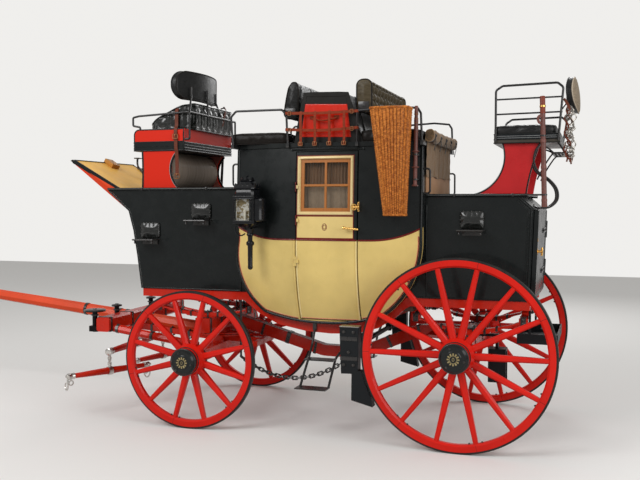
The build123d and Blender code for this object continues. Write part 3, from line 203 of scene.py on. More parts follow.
def cabin_paint():
    """Black above the belt line and cream below it, with the door's framed window panel."""
    paint = Paint("cabin_panels")
    x, y, z = paint.split()
    mid = (CABIN_MID + SHIFT) * MM
    reach = paint.math("ABSOLUTE", paint.math("SUBTRACT", x, mid))
    rise = paint.math("POWER", paint.ramp(reach, 0.34, 0.71), 2.2)
    belt = paint.math("MULTIPLY_ADD", rise, 0.095, 1.418)
    over = paint.math("SUBTRACT", z, belt)
    lower = paint.ramp(over, -0.0008, 0.0008, 1.0, 0.0)
    left, right = (-1181 + SHIFT) * MM, (-761 + SHIFT) * MM
    across = paint.between(x, left, right)
    window = paint.both(across, paint.between(z, 1.598, 2.020))
    panel = paint.both(across, paint.between(z, 1.434, 1.586))
    edge = 0.006
    wide = paint.between(x, left - edge, right + edge)
    lining = paint.both(wide, paint.between(z, 1.418, 2.020 + edge))
    outer = paint.math("ABSOLUTE", y)
    outside = paint.ramp(outer, 0.50, 0.505)
    streak = paint.noise(1.0, 3.0, vector=paint.mapped((9.0, 9.0, 1.4)))
    cream = paint.mix(paint.ramp(streak, 0.4, 0.75, 0.0, 0.12), CREAM, (0.56, 0.42, 0.15))
    colour = paint.mix(lower, BLACK, cream)
    colour = paint.mix(paint.both(lining, paint.ramp(over, 0.0, 0.001)), colour, DARK_RED)
    colour = paint.mix(panel, colour, paint.mix(0.25, cream, FRAME_CREAM))
    colour = paint.mix(window, colour, FRAME_CREAM)
    colour = paint.mix(outside, (0.05, 0.028, 0.018), colour)
    return coach_paint(paint, colour, rough=0.26, coat=0.4)


def leather(name, colour, rough, grain=420.0, coat=0.0, sheen_colour=None, specular=0.2,
            folds=0.35):
    """Hide: pebbled grain, long creases made lighter by wear and by a painted sheen, scuffed high
    spots.
    """
    paint = Paint(name)
    pebbles = paint.cell_edges(grain)
    creases = paint.noise(34.0, 8.0, 0.72, vector=paint.mapped((1.0, 1.0, 2.6)))
    # Lighter tone for the creases: partly worn hide, partly a painted sheen on the folds
    crease_wear_and_sheen = tuple(min(1.0, c * 2.1 + 0.012) for c in colour)
    base = paint.mix(paint.ramp(creases, 0.42, 0.72, 0.0, 0.55), colour, sheen_colour or crease_wear_and_sheen)
    base = paint.worn(base, tuple(min(1.0, c * 3.0 + 0.03) for c in colour), 0.6)
    paint.bump(creases, folds, 0.002)
    paint.bump(paint.ramp(pebbles, 0.0, 0.12), folds * 0.7, 0.0005)
    shine = paint.ramp(creases, 0.35, 0.7, rough - 0.08, rough + 0.16)
    return paint.finish(base, shine, coat=coat * 0.6, coat_rough=0.2, specular=specular)


def metal(name, colour, rough, grime=(0.02, 0.016, 0.012), dirt=0.4):
    """Polished or worn metal with tarnish in its hollows."""
    paint = Paint(name)
    tarnish = paint.ramp(paint.noise(55.0, 8.0, 0.7), 0.50, 0.78, 0.0, dirt)
    base = paint.mix(tarnish, colour, grime)
    shine = paint.ramp(paint.noise(130.0, 4.0), 0.3, 0.8, rough - 0.06, rough + 0.20)
    paint.bump(paint.noise(210.0, 3.0), 0.08, 0.0006)
    return paint.finish(base, shine, metal=1.0)


def black_iron():
    """Black japanned iron, rubbed to bare metal on its edges."""
    paint = Paint("black_japan")
    base = paint.mix(paint.ramp(paint.noise(24.0, 6.0), 0.4, 0.8, 0.0, 0.5), (0.008, 0.008, 0.009),
                     (0.022, 0.018, 0.015))
    base = paint.worn(base, (0.06, 0.054, 0.048), 0.7)
    paint.bump(paint.noise(160.0, 3.0), 0.12, 0.0008)
    return paint.finish(base, paint.ramp(paint.noise(60.0), 0.3, 0.8, 0.24, 0.46), coat=0.4,
                        coat_rough=0.12)


def varnished_wood(name, light, dark):
    """Grain under clear varnish."""
    paint = Paint(name)
    grain = paint.waves(2.4, 5.0, paint.mapped((30.0, 30.0, 3.5)), 4.0)
    pores = paint.noise(60.0, 6.0, 0.7, vector=paint.mapped((4.0, 4.0, 0.3)))
    base = paint.mix(grain, light, dark)
    base = paint.mix(paint.ramp(pores, 0.5, 0.75, 0.0, 0.55), base, tuple(c * 0.35 for c in dark))
    paint.bump(pores, 0.12, 0.0006)
    return paint.finish(base, paint.ramp(grain, 0.0, 1.0, 0.24, 0.36), coat=0.245, coat_rough=0.08)


def rubber():
    paint = Paint("tyre_rubber_solid")
    dust = paint.ramp(paint.noise(16.0, 7.0, 0.7), 0.45, 0.8, 0.0, 0.55)
    base = paint.mix(dust, (0.010, 0.010, 0.010), (0.045, 0.036, 0.026))
    paint.bump(paint.noise(240.0, 3.0), 0.2, 0.0006)
    return paint.finish(base, paint.ramp(dust, 0.0, 0.6, 0.42, 0.8))


def canvas_cloth(name, colour, thread=0.0022, stains=0.45):
    """A plain weave: two crossed sets of threads, faded and stained in patches."""
    paint = Paint(name)
    threads = 0.5 / thread
    warp = paint.waves(threads, 0.25, paint.mapped((1, 1, 0.02)), 1.0, "Y")
    weft = paint.waves(threads, 0.25, paint.mapped((0.02, 0.02, 1)), 1.0, "Z")
    weave = paint.both(warp, weft)
    patches = paint.ramp(paint.noise(5.0, 7.0, 0.65), 0.38, 0.72, 0.0, stains)
    base = paint.mix(patches, colour, tuple(c * 0.45 for c in colour))
    base = paint.mix(paint.ramp(weave, 0.0, 0.7, 0.35, 0.0), base, tuple(c * 0.5 for c in colour))
    paint.bump(paint.noise(30.0, 6.0), 0.3, 0.002)
    paint.bump(weave, 0.5, 0.0006)
    return paint.finish(base, 0.88, sheen=0.25, specular=0.25)


def glass():
    paint = Paint("window_glass")
    paint.shader.inputs["Alpha"].default_value = 0.14
    paint.bump(paint.noise(4.5, 2.0), 0.04, 0.004)
    return paint.finish((0.035, 0.040, 0.040), paint.ramp(paint.noise(9.0, 5.0), 0.4, 0.8, 0.01, 0.06))


def lamp_mirror():
    """A faceted silvered reflector, part bright and part old gold."""
    paint = Paint("lamp_reflector")
    patch = paint.ramp(paint.noise(38.0, 2.0, 0.6), 0.46, 0.54)
    base = paint.mix(patch, (0.92, 0.90, 0.82), (0.34, 0.25, 0.10))
    return paint.finish(base, 0.18, metal=0.35, coat=0.5)


def bar_irons():
    """Polished steel below the splinter bar, black japan above it."""
    paint = Paint("draught_steel_and_japan")
    _, _, z = paint.split()
    high = paint.ramp(z, 0.575, 0.600)
    tarnish = paint.ramp(paint.noise(55.0, 8.0, 0.7), 0.50, 0.78, 0.0, 0.35)
    steel = paint.mix(tarnish, (0.62, 0.60, 0.57), (0.05, 0.04, 0.03))
    base = paint.mix(high, steel, (0.014, 0.013, 0.014))
    return paint.finish(base, 0.30, metal=1.0)


M = {
    "red": plain_paint("coach_red", RED, coat=0.3, wear=(0.30, 0.02, 0.012)),
    "wheel_red": plain_paint("wheel_red", (0.66, 0.013, 0.006), rough=0.32, coat=0.25),
    "pole_red": plain_paint("pole_orange_red", (0.78, 0.075, 0.020), rough=0.36, coat=0.2),
    "black": plain_paint("coach_black", BLACK, rough=0.22, coat=0.5),
    "cabin": cabin_paint(),
    "crimson": plain_paint("crimson_lining", DARK_RED),
    "salmon": plain_paint("salmon_lining", SALMON),
    "cream": plain_paint("cream_beads", CREAM),
    "frame_cream": plain_paint("cream_frame", FRAME_CREAM),
    "drab": plain_paint("drab_panel", (0.085, 0.062, 0.045), rough=0.5, coat=0.1),
    "black_leather": leather("black_leather_hide", (0.008, 0.008, 0.008), 0.34, coat=0.12),
    "brown_leather": leather("worn_brown_leather", (0.0060, 0.0045, 0.0035), 0.40, coat=0.08,
                             sheen_colour=(0.014, 0.009, 0.007), specular=0.11),
    "tan": leather("tan_strap_leather", (0.155, 0.022, 0.006), 0.42, 600.0, coat=0.02,
                   specular=0.09),
    "black_patent": leather("black_patent_hide", (0.0050, 0.0058, 0.0050), 0.19, coat=1.0,
                            specular=0.28, folds=0.06),
    "olive_leather": leather("olive_brown_hide", (0.050, 0.037, 0.018), 0.42, coat=0.10),
    "pale_piping": leather("worn_pale_piping", (0.30, 0.25, 0.19), 0.5, 500.0),
    "drab_hide": leather("drab_back_hide", (0.21, 0.165, 0.115), 0.55, 460.0),
    "lamp_black": plain_paint("lamp_black_gloss", (0.0065, 0.0070, 0.0085), rough=0.20, coat=0.6),
    # Pale lines along the moulding edges of the boots and seats: painted highlights on glossy edges
    "edge_highlight_line": plain_paint("painted_edge_highlight", (0.42, 0.43, 0.42), rough=0.4, coat=0.1),
    "mirror": lamp_mirror(),
    "bit_steel": metal("dark_bit_steel", (0.34, 0.32, 0.29), 0.26, (0.03, 0.02, 0.015), 0.8),
    "wax": plain_paint("candle_wax", (0.80, 0.76, 0.62), rough=0.5, coat=0.0),
    "tan_board": plain_paint("tan_board", (0.43, 0.245, 0.135), rough=0.6, coat=0.0),
    "blind_brown": canvas_cloth("brown_window_blind", (0.250, 0.135, 0.066), 0.0018, 0.25),
    "blind_grey": canvas_cloth("grey_window_gauze", (0.42, 0.31, 0.205), 0.0030, 0.5),
    "pale_cream": plain_paint("pale_cream_bead", (0.86, 0.70, 0.33), rough=0.3, coat=0.3),
    "lining_brown": canvas_cloth("brown_wall_cloth", (0.125, 0.072, 0.038), 0.0018, 0.3),
    "canvas_shade": canvas_cloth("canvas_shadow", (0.070, 0.048, 0.028)),
    "maroon": leather("maroon_case_leather", (0.100, 0.033, 0.025), 0.38, 500.0, coat=0.25,
                      specular=0.3),
    "trunk": plain_paint("trunk_black", (0.0075, 0.0065, 0.0050), rough=0.42, coat=0.15),
    "iron": black_iron(),
    "brake_black": plain_paint("brake_black", (0.0075, 0.0090, 0.0105), rough=0.42, coat=0.1),
    "strap_brown": leather("strap_brown_leather", (0.090, 0.022, 0.011), 0.42, 600.0, coat=0.02,
                           specular=0.12),
    "steel": metal("polished_steel", (0.62, 0.60, 0.57), 0.22),
    "brass": metal("old_brass", (0.78, 0.47, 0.14), 0.24, (0.10, 0.05, 0.01)),
    "old_brass": metal("dull_cap_brass", (0.42, 0.34, 0.17), 0.38, (0.10, 0.07, 0.02)),
    "bar_irons": bar_irons(),
    "copper": metal("brown_brass", (0.30, 0.135, 0.065), 0.38, (0.06, 0.025, 0.012)),
    "wood": varnished_wood("varnished_ash", (0.46, 0.175, 0.038), (0.30, 0.095, 0.018)),
    "block_wood": varnished_wood("oak_block", (0.60, 0.28, 0.05), (0.42, 0.16, 0.025)),
    "rubber": rubber(),
    "canvas": canvas_cloth("faded_canvas", (0.280, 0.168, 0.080)),
    "lining": canvas_cloth("drab_lining_cloth", (0.14, 0.115, 0.085), 0.0018, 0.25),
    "glass": glass(),
    "wicker_stake_shade": plain_paint("willow_shadow", (0.105, 0.026, 0.004), rough=0.6, coat=0.0),
}


# Mesh tools

def make(name, bm, material, body="coach", smooth=True):
    """A bmesh as a piece that rides on a body and takes its finish from a slot."""
    bmesh.ops.remove_doubles(bm, verts=bm.verts, dist=0.00002)
    bmesh.ops.recalc_face_normals(bm, faces=bm.faces)
    return ready_piece(name, bm, material, body, smooth)


def ready_piece(name, bm, material, body, smooth, sharp=38):
    mesh = bpy.data.meshes.new(name)
    bm.to_mesh(mesh)
    bm.free()
    piece = bpy.data.objects.new(name, mesh)
    bpy.context.scene.collection.objects.link(piece)
    mesh.materials.append(M[material] if isinstance(material, str) else material)
    if smooth:
        mesh.shade_smooth()
    if smooth and sharp:
        mesh.set_sharp_from_angle(angle=math.radians(sharp))
    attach(piece, body)
    return piece


def turns(count):
    """Even angles of a full turn."""
    return [2 * math.pi * i / count for i in range(count)]


def frames(points, closed=False, up=None):
    """A tangent and two steady normals at each point of a line."""
    count = len(points)
    out = []
    normal = None
    for i, point in enumerate(points):
        before = points[i - 1] if i or closed else point
        after = points[(i + 1) % count] if i < count - 1 or closed else point
        tangent = (after - before).normalized()
        if up is not None:
            normal = up(point) if callable(up) else Vector(up)
        elif normal is None:
            normal = AXIS_Z if abs(tangent.z) < 0.9 else AXIS_X
        normal = (normal - tangent * normal.dot(tangent)).normalized()
        out.append((point, tangent, normal, tangent.cross(normal)))
    return out


def curve(points, steps):
    """A smooth line through points."""
    pts = [Vector(p) for p in points]
    out = []
    for p0, p1, p2, p3 in zip([pts[0], *pts], pts, pts[1:], [*pts[2:], pts[-1]]):
        for step in range(steps):
            t = step / steps
            out.append(0.5 * ((2 * p1) + (p2 - p0) * t + (2 * p0 - 5 * p1 + 4 * p2 - p3) * t * t
                              + (3 * p1 - p0 - 3 * p2 + p3) * t ** 3))
    return [*out, pts[-1]]


def sweep(bm, points, section, closed=False, up=None, scale=None):
    """A section of (across, out) points, in millimetres, carried along a line."""
    rings = []
    line = frames([Vector(p) for p in points], closed, up)
    for i, (point, _, normal, side) in enumerate(line):
        k = (scale(i / max(1, len(line) - 1)) if scale else 1.0) * MM
        rings.append([bm.verts.new(point + side * a * k + normal * b * k) for a, b in section])
    size = len(section)
    for i in range(len(rings) if closed else len(rings) - 1):
        one, two = rings[i], rings[(i + 1) % len(rings)]
        for j in range(size):
            bm.faces.new((one[j], one[(j + 1) % size], two[(j + 1) % size], two[j]))
    if not closed:
        bm.faces.new(rings[0][::-1])
        bm.faces.new(rings[-1])


def circle(radius, sides):
    return [(radius * math.cos(a), radius * math.sin(a)) for a in turns(sides)]


def half_round(width, height):
    """A half-round bead, its flat side on the ground."""
    points = [(-width / 2, 0.0)]
    for i in range(1, 6):
        angle = math.pi * (1 - i / 6)
        points.append((width / 2 * math.cos(angle), height * math.sin(angle)))
    return [*points, (width / 2, 0.0), (width / 2, -2), (-width / 2, -2)]


def strap_section(width, thick):
    """A flat strap with eased edges."""
    w, t, e = width / 2, thick / 2, min(width, thick) * 0.3
    return [(-w, -t + e), (-w + e, -t), (w - e, -t), (w, -t + e), (w, t - e), (w - e, t),
            (-w + e, t), (-w, t - e)]


def bead(bm, line, y, width, height):
    """A half-round bead along (x, z) points at y, its round side away from the middle."""
    sweep(bm, [at(x, y, z) for x, z in line], half_round(width, height),
          up=(0, math.copysign(1, y), 0))


def cross_bead(bm, x, z, across, width, height, way):
    """A half-round bead across the coach, facing forwards or backwards."""
    sweep(bm, [at(x, y, z) for y in across], half_round(width, height), up=(way, 0, 0))


def turned(bm, profile, base, axis, sides):
    """A lathe form: (radius, height) points, in millimetres, about an axis from a base point."""
    axis = Vector(axis).normalized()
    first = AXIS_Z if abs(axis.z) < 0.9 else AXIS_X
    u = (first - axis * first.dot(axis)).normalized()
    v = axis.cross(u)
    rings = []
    for radius, height in profile:
        centre = Vector(base) + axis * (height * MM)
        if not radius:
            rings.append([bm.verts.new(centre)])
            continue
        rings.append([bm.verts.new(centre + (u * math.cos(a) + v * math.sin(a)) * (radius * MM))
                      for a in turns(sides)])
    for one, two in zip(rings, rings[1:]):
        for j in range(sides):
            k = (j + 1) % sides
            corners = [one[j % len(one)], one[k % len(one)], two[k % len(two)], two[j % len(two)]]
            unique = list(dict.fromkeys(corners))
            if len(unique) > 2:
                bm.faces.new(unique)
    for ring, flip in ((rings[0], True), (rings[-1], False)):
        if len(ring) > 2:
            bm.faces.new(ring[::-1] if flip else ring)


def block(bm, low, high, bevel=0.0, segments=2, matrix=None):
    """A box with eased edges."""
    made = bmesh.ops.create_cube(bm, size=1.0)["verts"]
    low, high = [Vector(map(pick, low, high)) for pick in (min, max)]
    for vert in made:
        vert.co = Vector([low[i] + (vert.co[i] + 0.5) * (high[i] - low[i]) for i in range(3)])
    if matrix is not None:
        bmesh.ops.transform(bm, matrix=matrix, verts=made)
    if bevel:
        edges = list({edge for vert in made for edge in vert.link_edges})
        bmesh.ops.bevel(bm, geom=edges, offset=bevel * MM, segments=segments, affect="EDGES",
                        profile=0.6)


def collar(bm, inner, outer, half, flat, base, axis, sides):
    """A turned ring with bevelled edges, half and flat being its half widths."""
    turned(bm, [(inner, -half), (outer, -flat), (outer, flat), (inner, half)], base, axis, sides)


def grid(bm, columns, rows, point):
    """A sheet of faces over the points of a grid."""
    lines = [[bm.verts.new(point(i, j)) for j in range(rows + 1)] for i in range(columns + 1)]
    for one, two in zip(lines, lines[1:]):
        for j in range(rows):
            bm.faces.new((one[j], one[j + 1], two[j + 1], two[j]))


def filled_in(corners, shares):
    """A closed line through corners, with points at these shares of each side."""
    return [a.lerp(b, share) for a, b in zip(corners, corners[1:] + corners[:1])
            for share in shares]


def nut(bm, point, out, radius, height):
    """A square-shouldered nut with a domed bolt end."""
    turned(bm, [(radius, 0), (radius, height * 0.8), (radius * 0.85, height)], point, out, 6)
    turned(bm, [(radius * 0.55, height * 0.9), (radius * 0.5, height * 1.5), (0, height * 1.8)],
           point, out, 8)


def arc_through(a, b, c):
    """The circle through three (u, w) points, as centre u, centre w and radius."""
    (ax, ay), (bx, by), (cx, cy) = a, b, c
    d = 2 * (ax * (by - cy) + bx * (cy - ay) + cx * (ay - by))
    ux = ((ax * ax + ay * ay) * (by - cy) + (bx * bx + by * by) * (cy - ay)
          + (cx * cx + cy * cy) * (ay - by)) / d
    uy = ((ax * ax + ay * ay) * (cx - bx) + (bx * bx + by * by) * (ax - cx)
          + (cx * cx + cy * cy) * (bx - ax)) / d
    return ux, uy, math.hypot(ax - ux, ay - uy)


UPPER = arc_through((622, 2085), (642, 1740), (650, 1430))
LOWER = arc_through((650, 1430), (624, 1090), (520, 793))


def side_y(x, z):
    """How far the cabin's side stands from the middle at (x, z)."""
    centre_y, centre_z, radius = UPPER if z > 1430 else LOWER
    section = centre_y + math.sqrt(max(0.0, radius ** 2 - (z - centre_z) ** 2))
    swing = SIDE_CENTRE_Y + section
    return math.sqrt(swing ** 2 - (x - CABIN_MID) ** 2) - SIDE_CENTRE_Y


def on_side(x, z, side, out=0.0):
    return at(x, side * (side_y(x, z) + out), z)


def side_bead(bm, line, side, width, height):
    """A half-round bead on the cabin's side, through (x, z) points."""
    sweep(bm, [on_side(x, z, side) for x, z in line], half_round(width, height), up=(0, side, 0))


def belt_z(x):
    reach = min(1.0, max(0.0, (abs(x - CABIN_MID) - 340) / 370))
    return 1418 + 95 * reach ** 2.2


def run(points, step):
    """(x, z) points filled in along their straight runs."""
    out = []
    for (x0, z0), (x1, z1) in zip(points, points[1:]):
        count = max(1, int(math.hypot(x1 - x0, z1 - z0) / step))
        out += [(x0 + (x1 - x0) * i / count, z0 + (z1 - z0) * i / count) for i in range(count)]
    return [*out, points[-1]]


# Carried-over nodes get their materials by slot

NODE_LOOKS = {
    "red": ("sill_beams", "perch", "springs", "rear_axle", "front_axle", "futchells",
            "swingle_bars"),
    "wheel_red": ["wheel_" + wheel for wheel in WHEELS],
    "rubber": ["tyre_" + wheel for wheel in WHEELS],
    "black": ["cap_" + wheel for wheel in WHEELS]
    + ["cabin_front", "cabin_rear", "cabin_roof", "front_boot", "rear_boot", "boot_door"],
    "cabin": ("cabin_side_left", "cabin_side_right", "door_left", "door_right"),
    "pole_red": ("pole",),
    "drab": ("cabin_floor",),
    "lining": ("cabin_benches",),
    "wood": ("sash_left", "sash_right"),
    "glass": ("glass_left", "glass_right", "lamp_glasses"),
    "brass": ("handle_left", "handle_right"),
    "iron": ("roof_irons", "seat_irons", "steps", "drag_chain", "lamp_bodies"),
    "brake_black": ("brake_gear", "hind_gear"),
    "bar_irons": ("draught_irons",),
    "black_leather": ("seat_cushions", "box_cushion", "back_pads", "roof_backs", "step_pads"),
    "maroon": ("horn_cases",),
    "trunk": ("luggage_box",),
    "canvas": ("canvas_apron", "umbrella_basket"),
}


def dress_node(node, material):
    mesh = NODES[node].data
    mesh.materials.clear()
    mesh.materials.append(material)


for look, dressed_nodes in NODE_LOOKS.items():
    for node_name in dressed_nodes:
        dress_node(node_name, M[look])


def arc(a, b, c, count=14):
    """Points along the arc through three (x, z) points."""
    cu, cw, radius = arc_through(a, b, c)
    ends = [math.atan2(p[1] - cw, p[0] - cu) for p in (a, b, c)]
    first, middle, last = ends
    turn = (last - first) % (2 * math.pi)
    if (middle - first) % (2 * math.pi) > turn:
        turn -= 2 * math.pi
    return [(cu + radius * math.cos(first + turn * i / count),
             cw + radius * math.sin(first + turn * i / count)) for i in range(count + 1)]


def inset(points, depth):
    """An (x, z) line moved to its left hand."""
    out = []
    for i, (x, z) in enumerate(points):
        x0, z0 = points[max(0, i - 1)]
        x1, z1 = points[min(len(points) - 1, i + 1)]
        length = math.hypot(x1 - x0, z1 - z0) or 1.0
        out.append((x - (z1 - z0) / length * depth, z + (x1 - x0) / length * depth))
    return out


OUTLINE = (run([(-1695, 2080), (-1695, 1400)], 60)[:-1]
           + arc((-1695, 1400), (-1642, 1040), (-1490, 862))[:-1]
           + arc((-1490, 862), (-1262, 812), (-1000, 797))[:-1]
           + arc((-1000, 797), (-760, 816), (-560, 868))[:-1]
           + arc((-560, 868), (-356, 1096), (-277, 1450))[:-1]
           + run([(-277, 1450), (-277, 2080)], 60))
DOOR_SPANS = (("front", -1700, -1197, "coach"), ("door", -1189, -734, "door"),
              ("rear", -723, -270, "coach"))


def loops(bm, rings):
    """Faces between neighbouring closed loops of points."""
    made = [[bm.verts.new(p) for p in ring] for ring in rings]
    for one, two in zip(made, made[1:]):
        for j in range(len(one)):
            k = (j + 1) % len(one)
            bm.faces.new((one[j], one[k], two[k], two[j]))
    return made


def cabin_trim():
    """Belt and edge mouldings, lining, door frame, beads and drip rail on both sides."""
    for side, name in NAMED_SIDES:
        up = (0, side, 0)
        edge = inset(OUTLINE, 11)
        bm = bmesh.new()
        side_bead(bm, edge, side, 22, 11)
        make("cabin_edge_" + name, bm, "black")
        for part, x0, x1, owner in DOOR_SPANS:
            body = "door_" + name if owner == "door" else "coach"
            lining = bmesh.new()
            count = 16
            span = [x0 + (x1 - x0) * i / count for i in range(count + 1)]
            span = [min(max(x, -1687), -284) for x in span]
            belt = [on_side(x, belt_z(x), side) for x in span]
            sweep(lining, belt, half_round(12, 6), up=up)
            for depth, width, colour in ((25.5, 6, "crimson"), (31.0, 4.5, "salmon")):
                low = [(x, z) for x, z in inset(OUTLINE, depth) if x0 <= x <= x1 and z < 1500]
                if part == "door":
                    low = run([(x0, 827 + depth / 2.4), (x1, 827 + depth / 2.4)], 40)
                line = lining if colour == "crimson" else bmesh.new()
                side_bead(line, low, side, width, 1.5)
                if colour == "salmon":
                    make(f"salmon_line_{part}_{name}", line, "salmon", body)
            make(f"lining_{part}_{name}", lining, "crimson", body)
        bm = bmesh.new()
        loops(bm, [[on_side(x, z, side, out) for x, z in
                    rectangle(-1179 + d, -762 - d, 1599 + d, 2019 - d)]
                   for d, out in ((0, -1), (2, 7), (6, 10), (14, 10), (18, 6), (20, -1))])
        make("window_frame_" + name, bm, "frame_cream", "door_" + name)
        for label, x, low, owner in (("front", -1204, 826, "coach"), ("rear", -740, 838, "door")):
            body = "door_" + name if owner == "door" else "coach"
            bm = bmesh.new()
            sweep(bm, [on_side(x, z, side) for _, z in run([(x, low), (x, 1409)], 40)],
                  half_round(13, 6), up=up)
            make(f"bead_{label}_{name}", bm, "cream", body)
        bm = bmesh.new()
        sweep(bm, [on_side(x, 2068, side) for x, _ in run([(-1228, 0), (-690, 0)], 40)],
              half_round(12, 12), up=up)
        for x in (-1228, -690):
            turned(bm, [(7, 0), (7, 12), (0, 16)], on_side(x, 2068, side), up, 10)
        make("drip_rail_" + name, bm, "black")
        bm = bmesh.new()
        for grow, height in ((1.0, 1.6), (0.62, 1.2)):
            oval = [on_side(-970 + 17 * grow * math.cos(a), 1512 + 24 * grow * math.sin(a), side)
                    for a in turns(28)]
            sweep(bm, oval, half_round(4, height), closed=True, up=up)
        make("door_oval_" + name, bm, "crimson", "door_" + name)


def rectangle(x0, x1, z0, z1):
    """A closed (x, z) loop with eight points to each side."""
    corners = [(x0, z0), (x1, z0), (x1, z1), (x0, z1), (x0, z0)]
    return [(a[0] + (b[0] - a[0]) * i / 8, a[1] + (b[1] - a[1]) * i / 8)
            for a, b in zip(corners, corners[1:]) for i in range(8)]


def wicker_material():
    """Split willow: each row and stake its own brown, varnished and dusty."""
    paint = Paint("woven_willow")
    tone = paint.noise(1.0, 3.0, vector=paint.mapped((60.0, 60.0, 75.0)))
    fibre = paint.noise(1.0, 4.0, vector=paint.mapped((300.0, 300.0, 900.0)))
    base = paint.mix(paint.ramp(tone, 0.37, 0.63), (0.30, 0.075, 0.010), (0.69, 0.245, 0.044))
    base = paint.mix(paint.ramp(fibre, 0.45, 0.75, 0.0, 0.35), base, (0.16, 0.036, 0.006))
    paint.bump(fibre, 0.3, 0.0006)
    return paint.finish(base, paint.ramp(tone, 0.3, 0.7, 0.38, 0.55), coat=0.08, coat_rough=0.3,
                        specular=0.14)


def basket():
    """The umbrella basket: stakes, woven rows, a plaited rim and a wrapped foot."""
    material = wicker_material()

    def section(z, inner):
        share = (z - 1596) / (2330 - 1596)
        cx, cy = -443 - 21 * share, -690 - 40 * share
        hx, hy, r = 77 + 59 * share - inner, 52 + 32 * share - inner, 38 - inner
        loop = []
        for sx, sy, first in ((1, 1, 0), (-1, 1, 90), (-1, -1, 180), (1, -1, 270)):
            for i in range(7):
                a = math.radians(first + 15 * i)
                loop.append(at(cx + sx * (hx - r) + r * math.cos(a),
                               cy + sy * (hy - r) + r * math.sin(a), z))
        return loop

    def ring(z, count, inner):
        loop = section(z, inner)
        lengths = [(b - a).length for a, b in zip(loop, loop[1:] + loop[:1])]
        total, out, i, passed = sum(lengths), [], 0, 0.0
        for step in range(count):
            goal = total * step / count
            while passed + lengths[i] < goal:
                passed += lengths[i]
                i += 1
            out.append(loop[i].lerp(loop[(i + 1) % len(loop)], (goal - passed) / lengths[i]))
        return out

    stakes = 30
    bm = bmesh.new()
    rows = 92
    dice = random.Random(11)
    for row in range(rows):
        z = 1606 + (2322 - 1606) * row / (rows - 1)
        line = ring(z, stakes * 4, 6.0)
        centre = sum(line, Vector()) / len(line)
        woven = []
        for i, point in enumerate(line):
            away = (point - centre).normalized()
            bulge = (-0.0030, 0.0035, 0.0062, 0.0035)[i % 4] + dice.uniform(-0.0008, 0.0008)
            cross = 0.0016 * math.cos(math.pi * (i // 4 + row))
            woven.append(point + away * (bulge + cross) + Vector((0, 0, cross * 0.6)))
        sweep(bm, woven, [(-3.7, -1.6), (3.7, -1.6), (3.7, 1.6), (-3.7, 1.6)], closed=True,
              up=lambda p: p - centre)
    weave = make("basket_weave", bm, material)
    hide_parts("umbrella_basket")
    uprights = bmesh.new()
    for i in range(stakes):
        line = [ring(z, stakes * 4, 6.0)[4 * i] for z in (1600, 1780, 1960, 2140, 2326)]
        sweep(uprights, line, strap_section(7.5, 2.4), up=lambda p: p - at(-450, -705, p.z * 1000))
    bm = bmesh.new()
    for z, size, twist in ((2328, 8.5, 34), (1602, 7, 26)):
        base = ring(z, 96, 3.0)
        centre = sum(base, Vector()) / len(base)
        for phase in (0.0, math.pi * 2 / 3, math.pi * 4 / 3):
            rope = []
            for i, point in enumerate(base):
                turn = 2 * math.pi * twist * i / 96 * 0.5 + phase
                away = (point - centre).normalized()
                rope.append(point + (away * math.cos(turn) + AXIS_Z * math.sin(turn)) * size
                            * 0.7 * MM)
            sweep(bm, rope, circle(size * 0.55, 6), closed=True)
    bm.faces.new([bm.verts.new(p) for p in ring(1600, 48, 4.0)])
    make("basket_rims", bm, material)
    # The stakes are dark willow: painted shade in the recesses between the woven rows' bulges
    make("basket_stakes", uprights, "wicker_stake_shade")
    bm = bmesh.new()
    for z in (1712, 2002):
        y_in = -side_y(-460, z) + 2
        block(bm, at(-482, -648, z - 11), at(-438, y_in, z + 11), 2)
    make("basket_brackets", bm, "iron")


def buckle(bm, centre, along, out, width, iron):
    """A square roller buckle with its tongue."""
    along, out = Vector(along).normalized(), Vector(out).normalized()
    across = along.cross(out)
    w, h = width / 2 * MM, width * 0.42 * MM
    corners = [centre + across * (sx * w) + along * (sz * h) + out * 0.003
               for sx, sz in ((-1, -1), (1, -1), (1, 1), (-1, 1))]
    sweep(bm, filled_in(corners, (0.12, 0.5, 0.88)), circle(iron, 6), closed=True, up=out)
    sweep(bm, [centre + out * 0.004 - along * h, centre + out * 0.0075,
               centre + out * 0.004 + along * h], circle(iron * 0.7, 5))


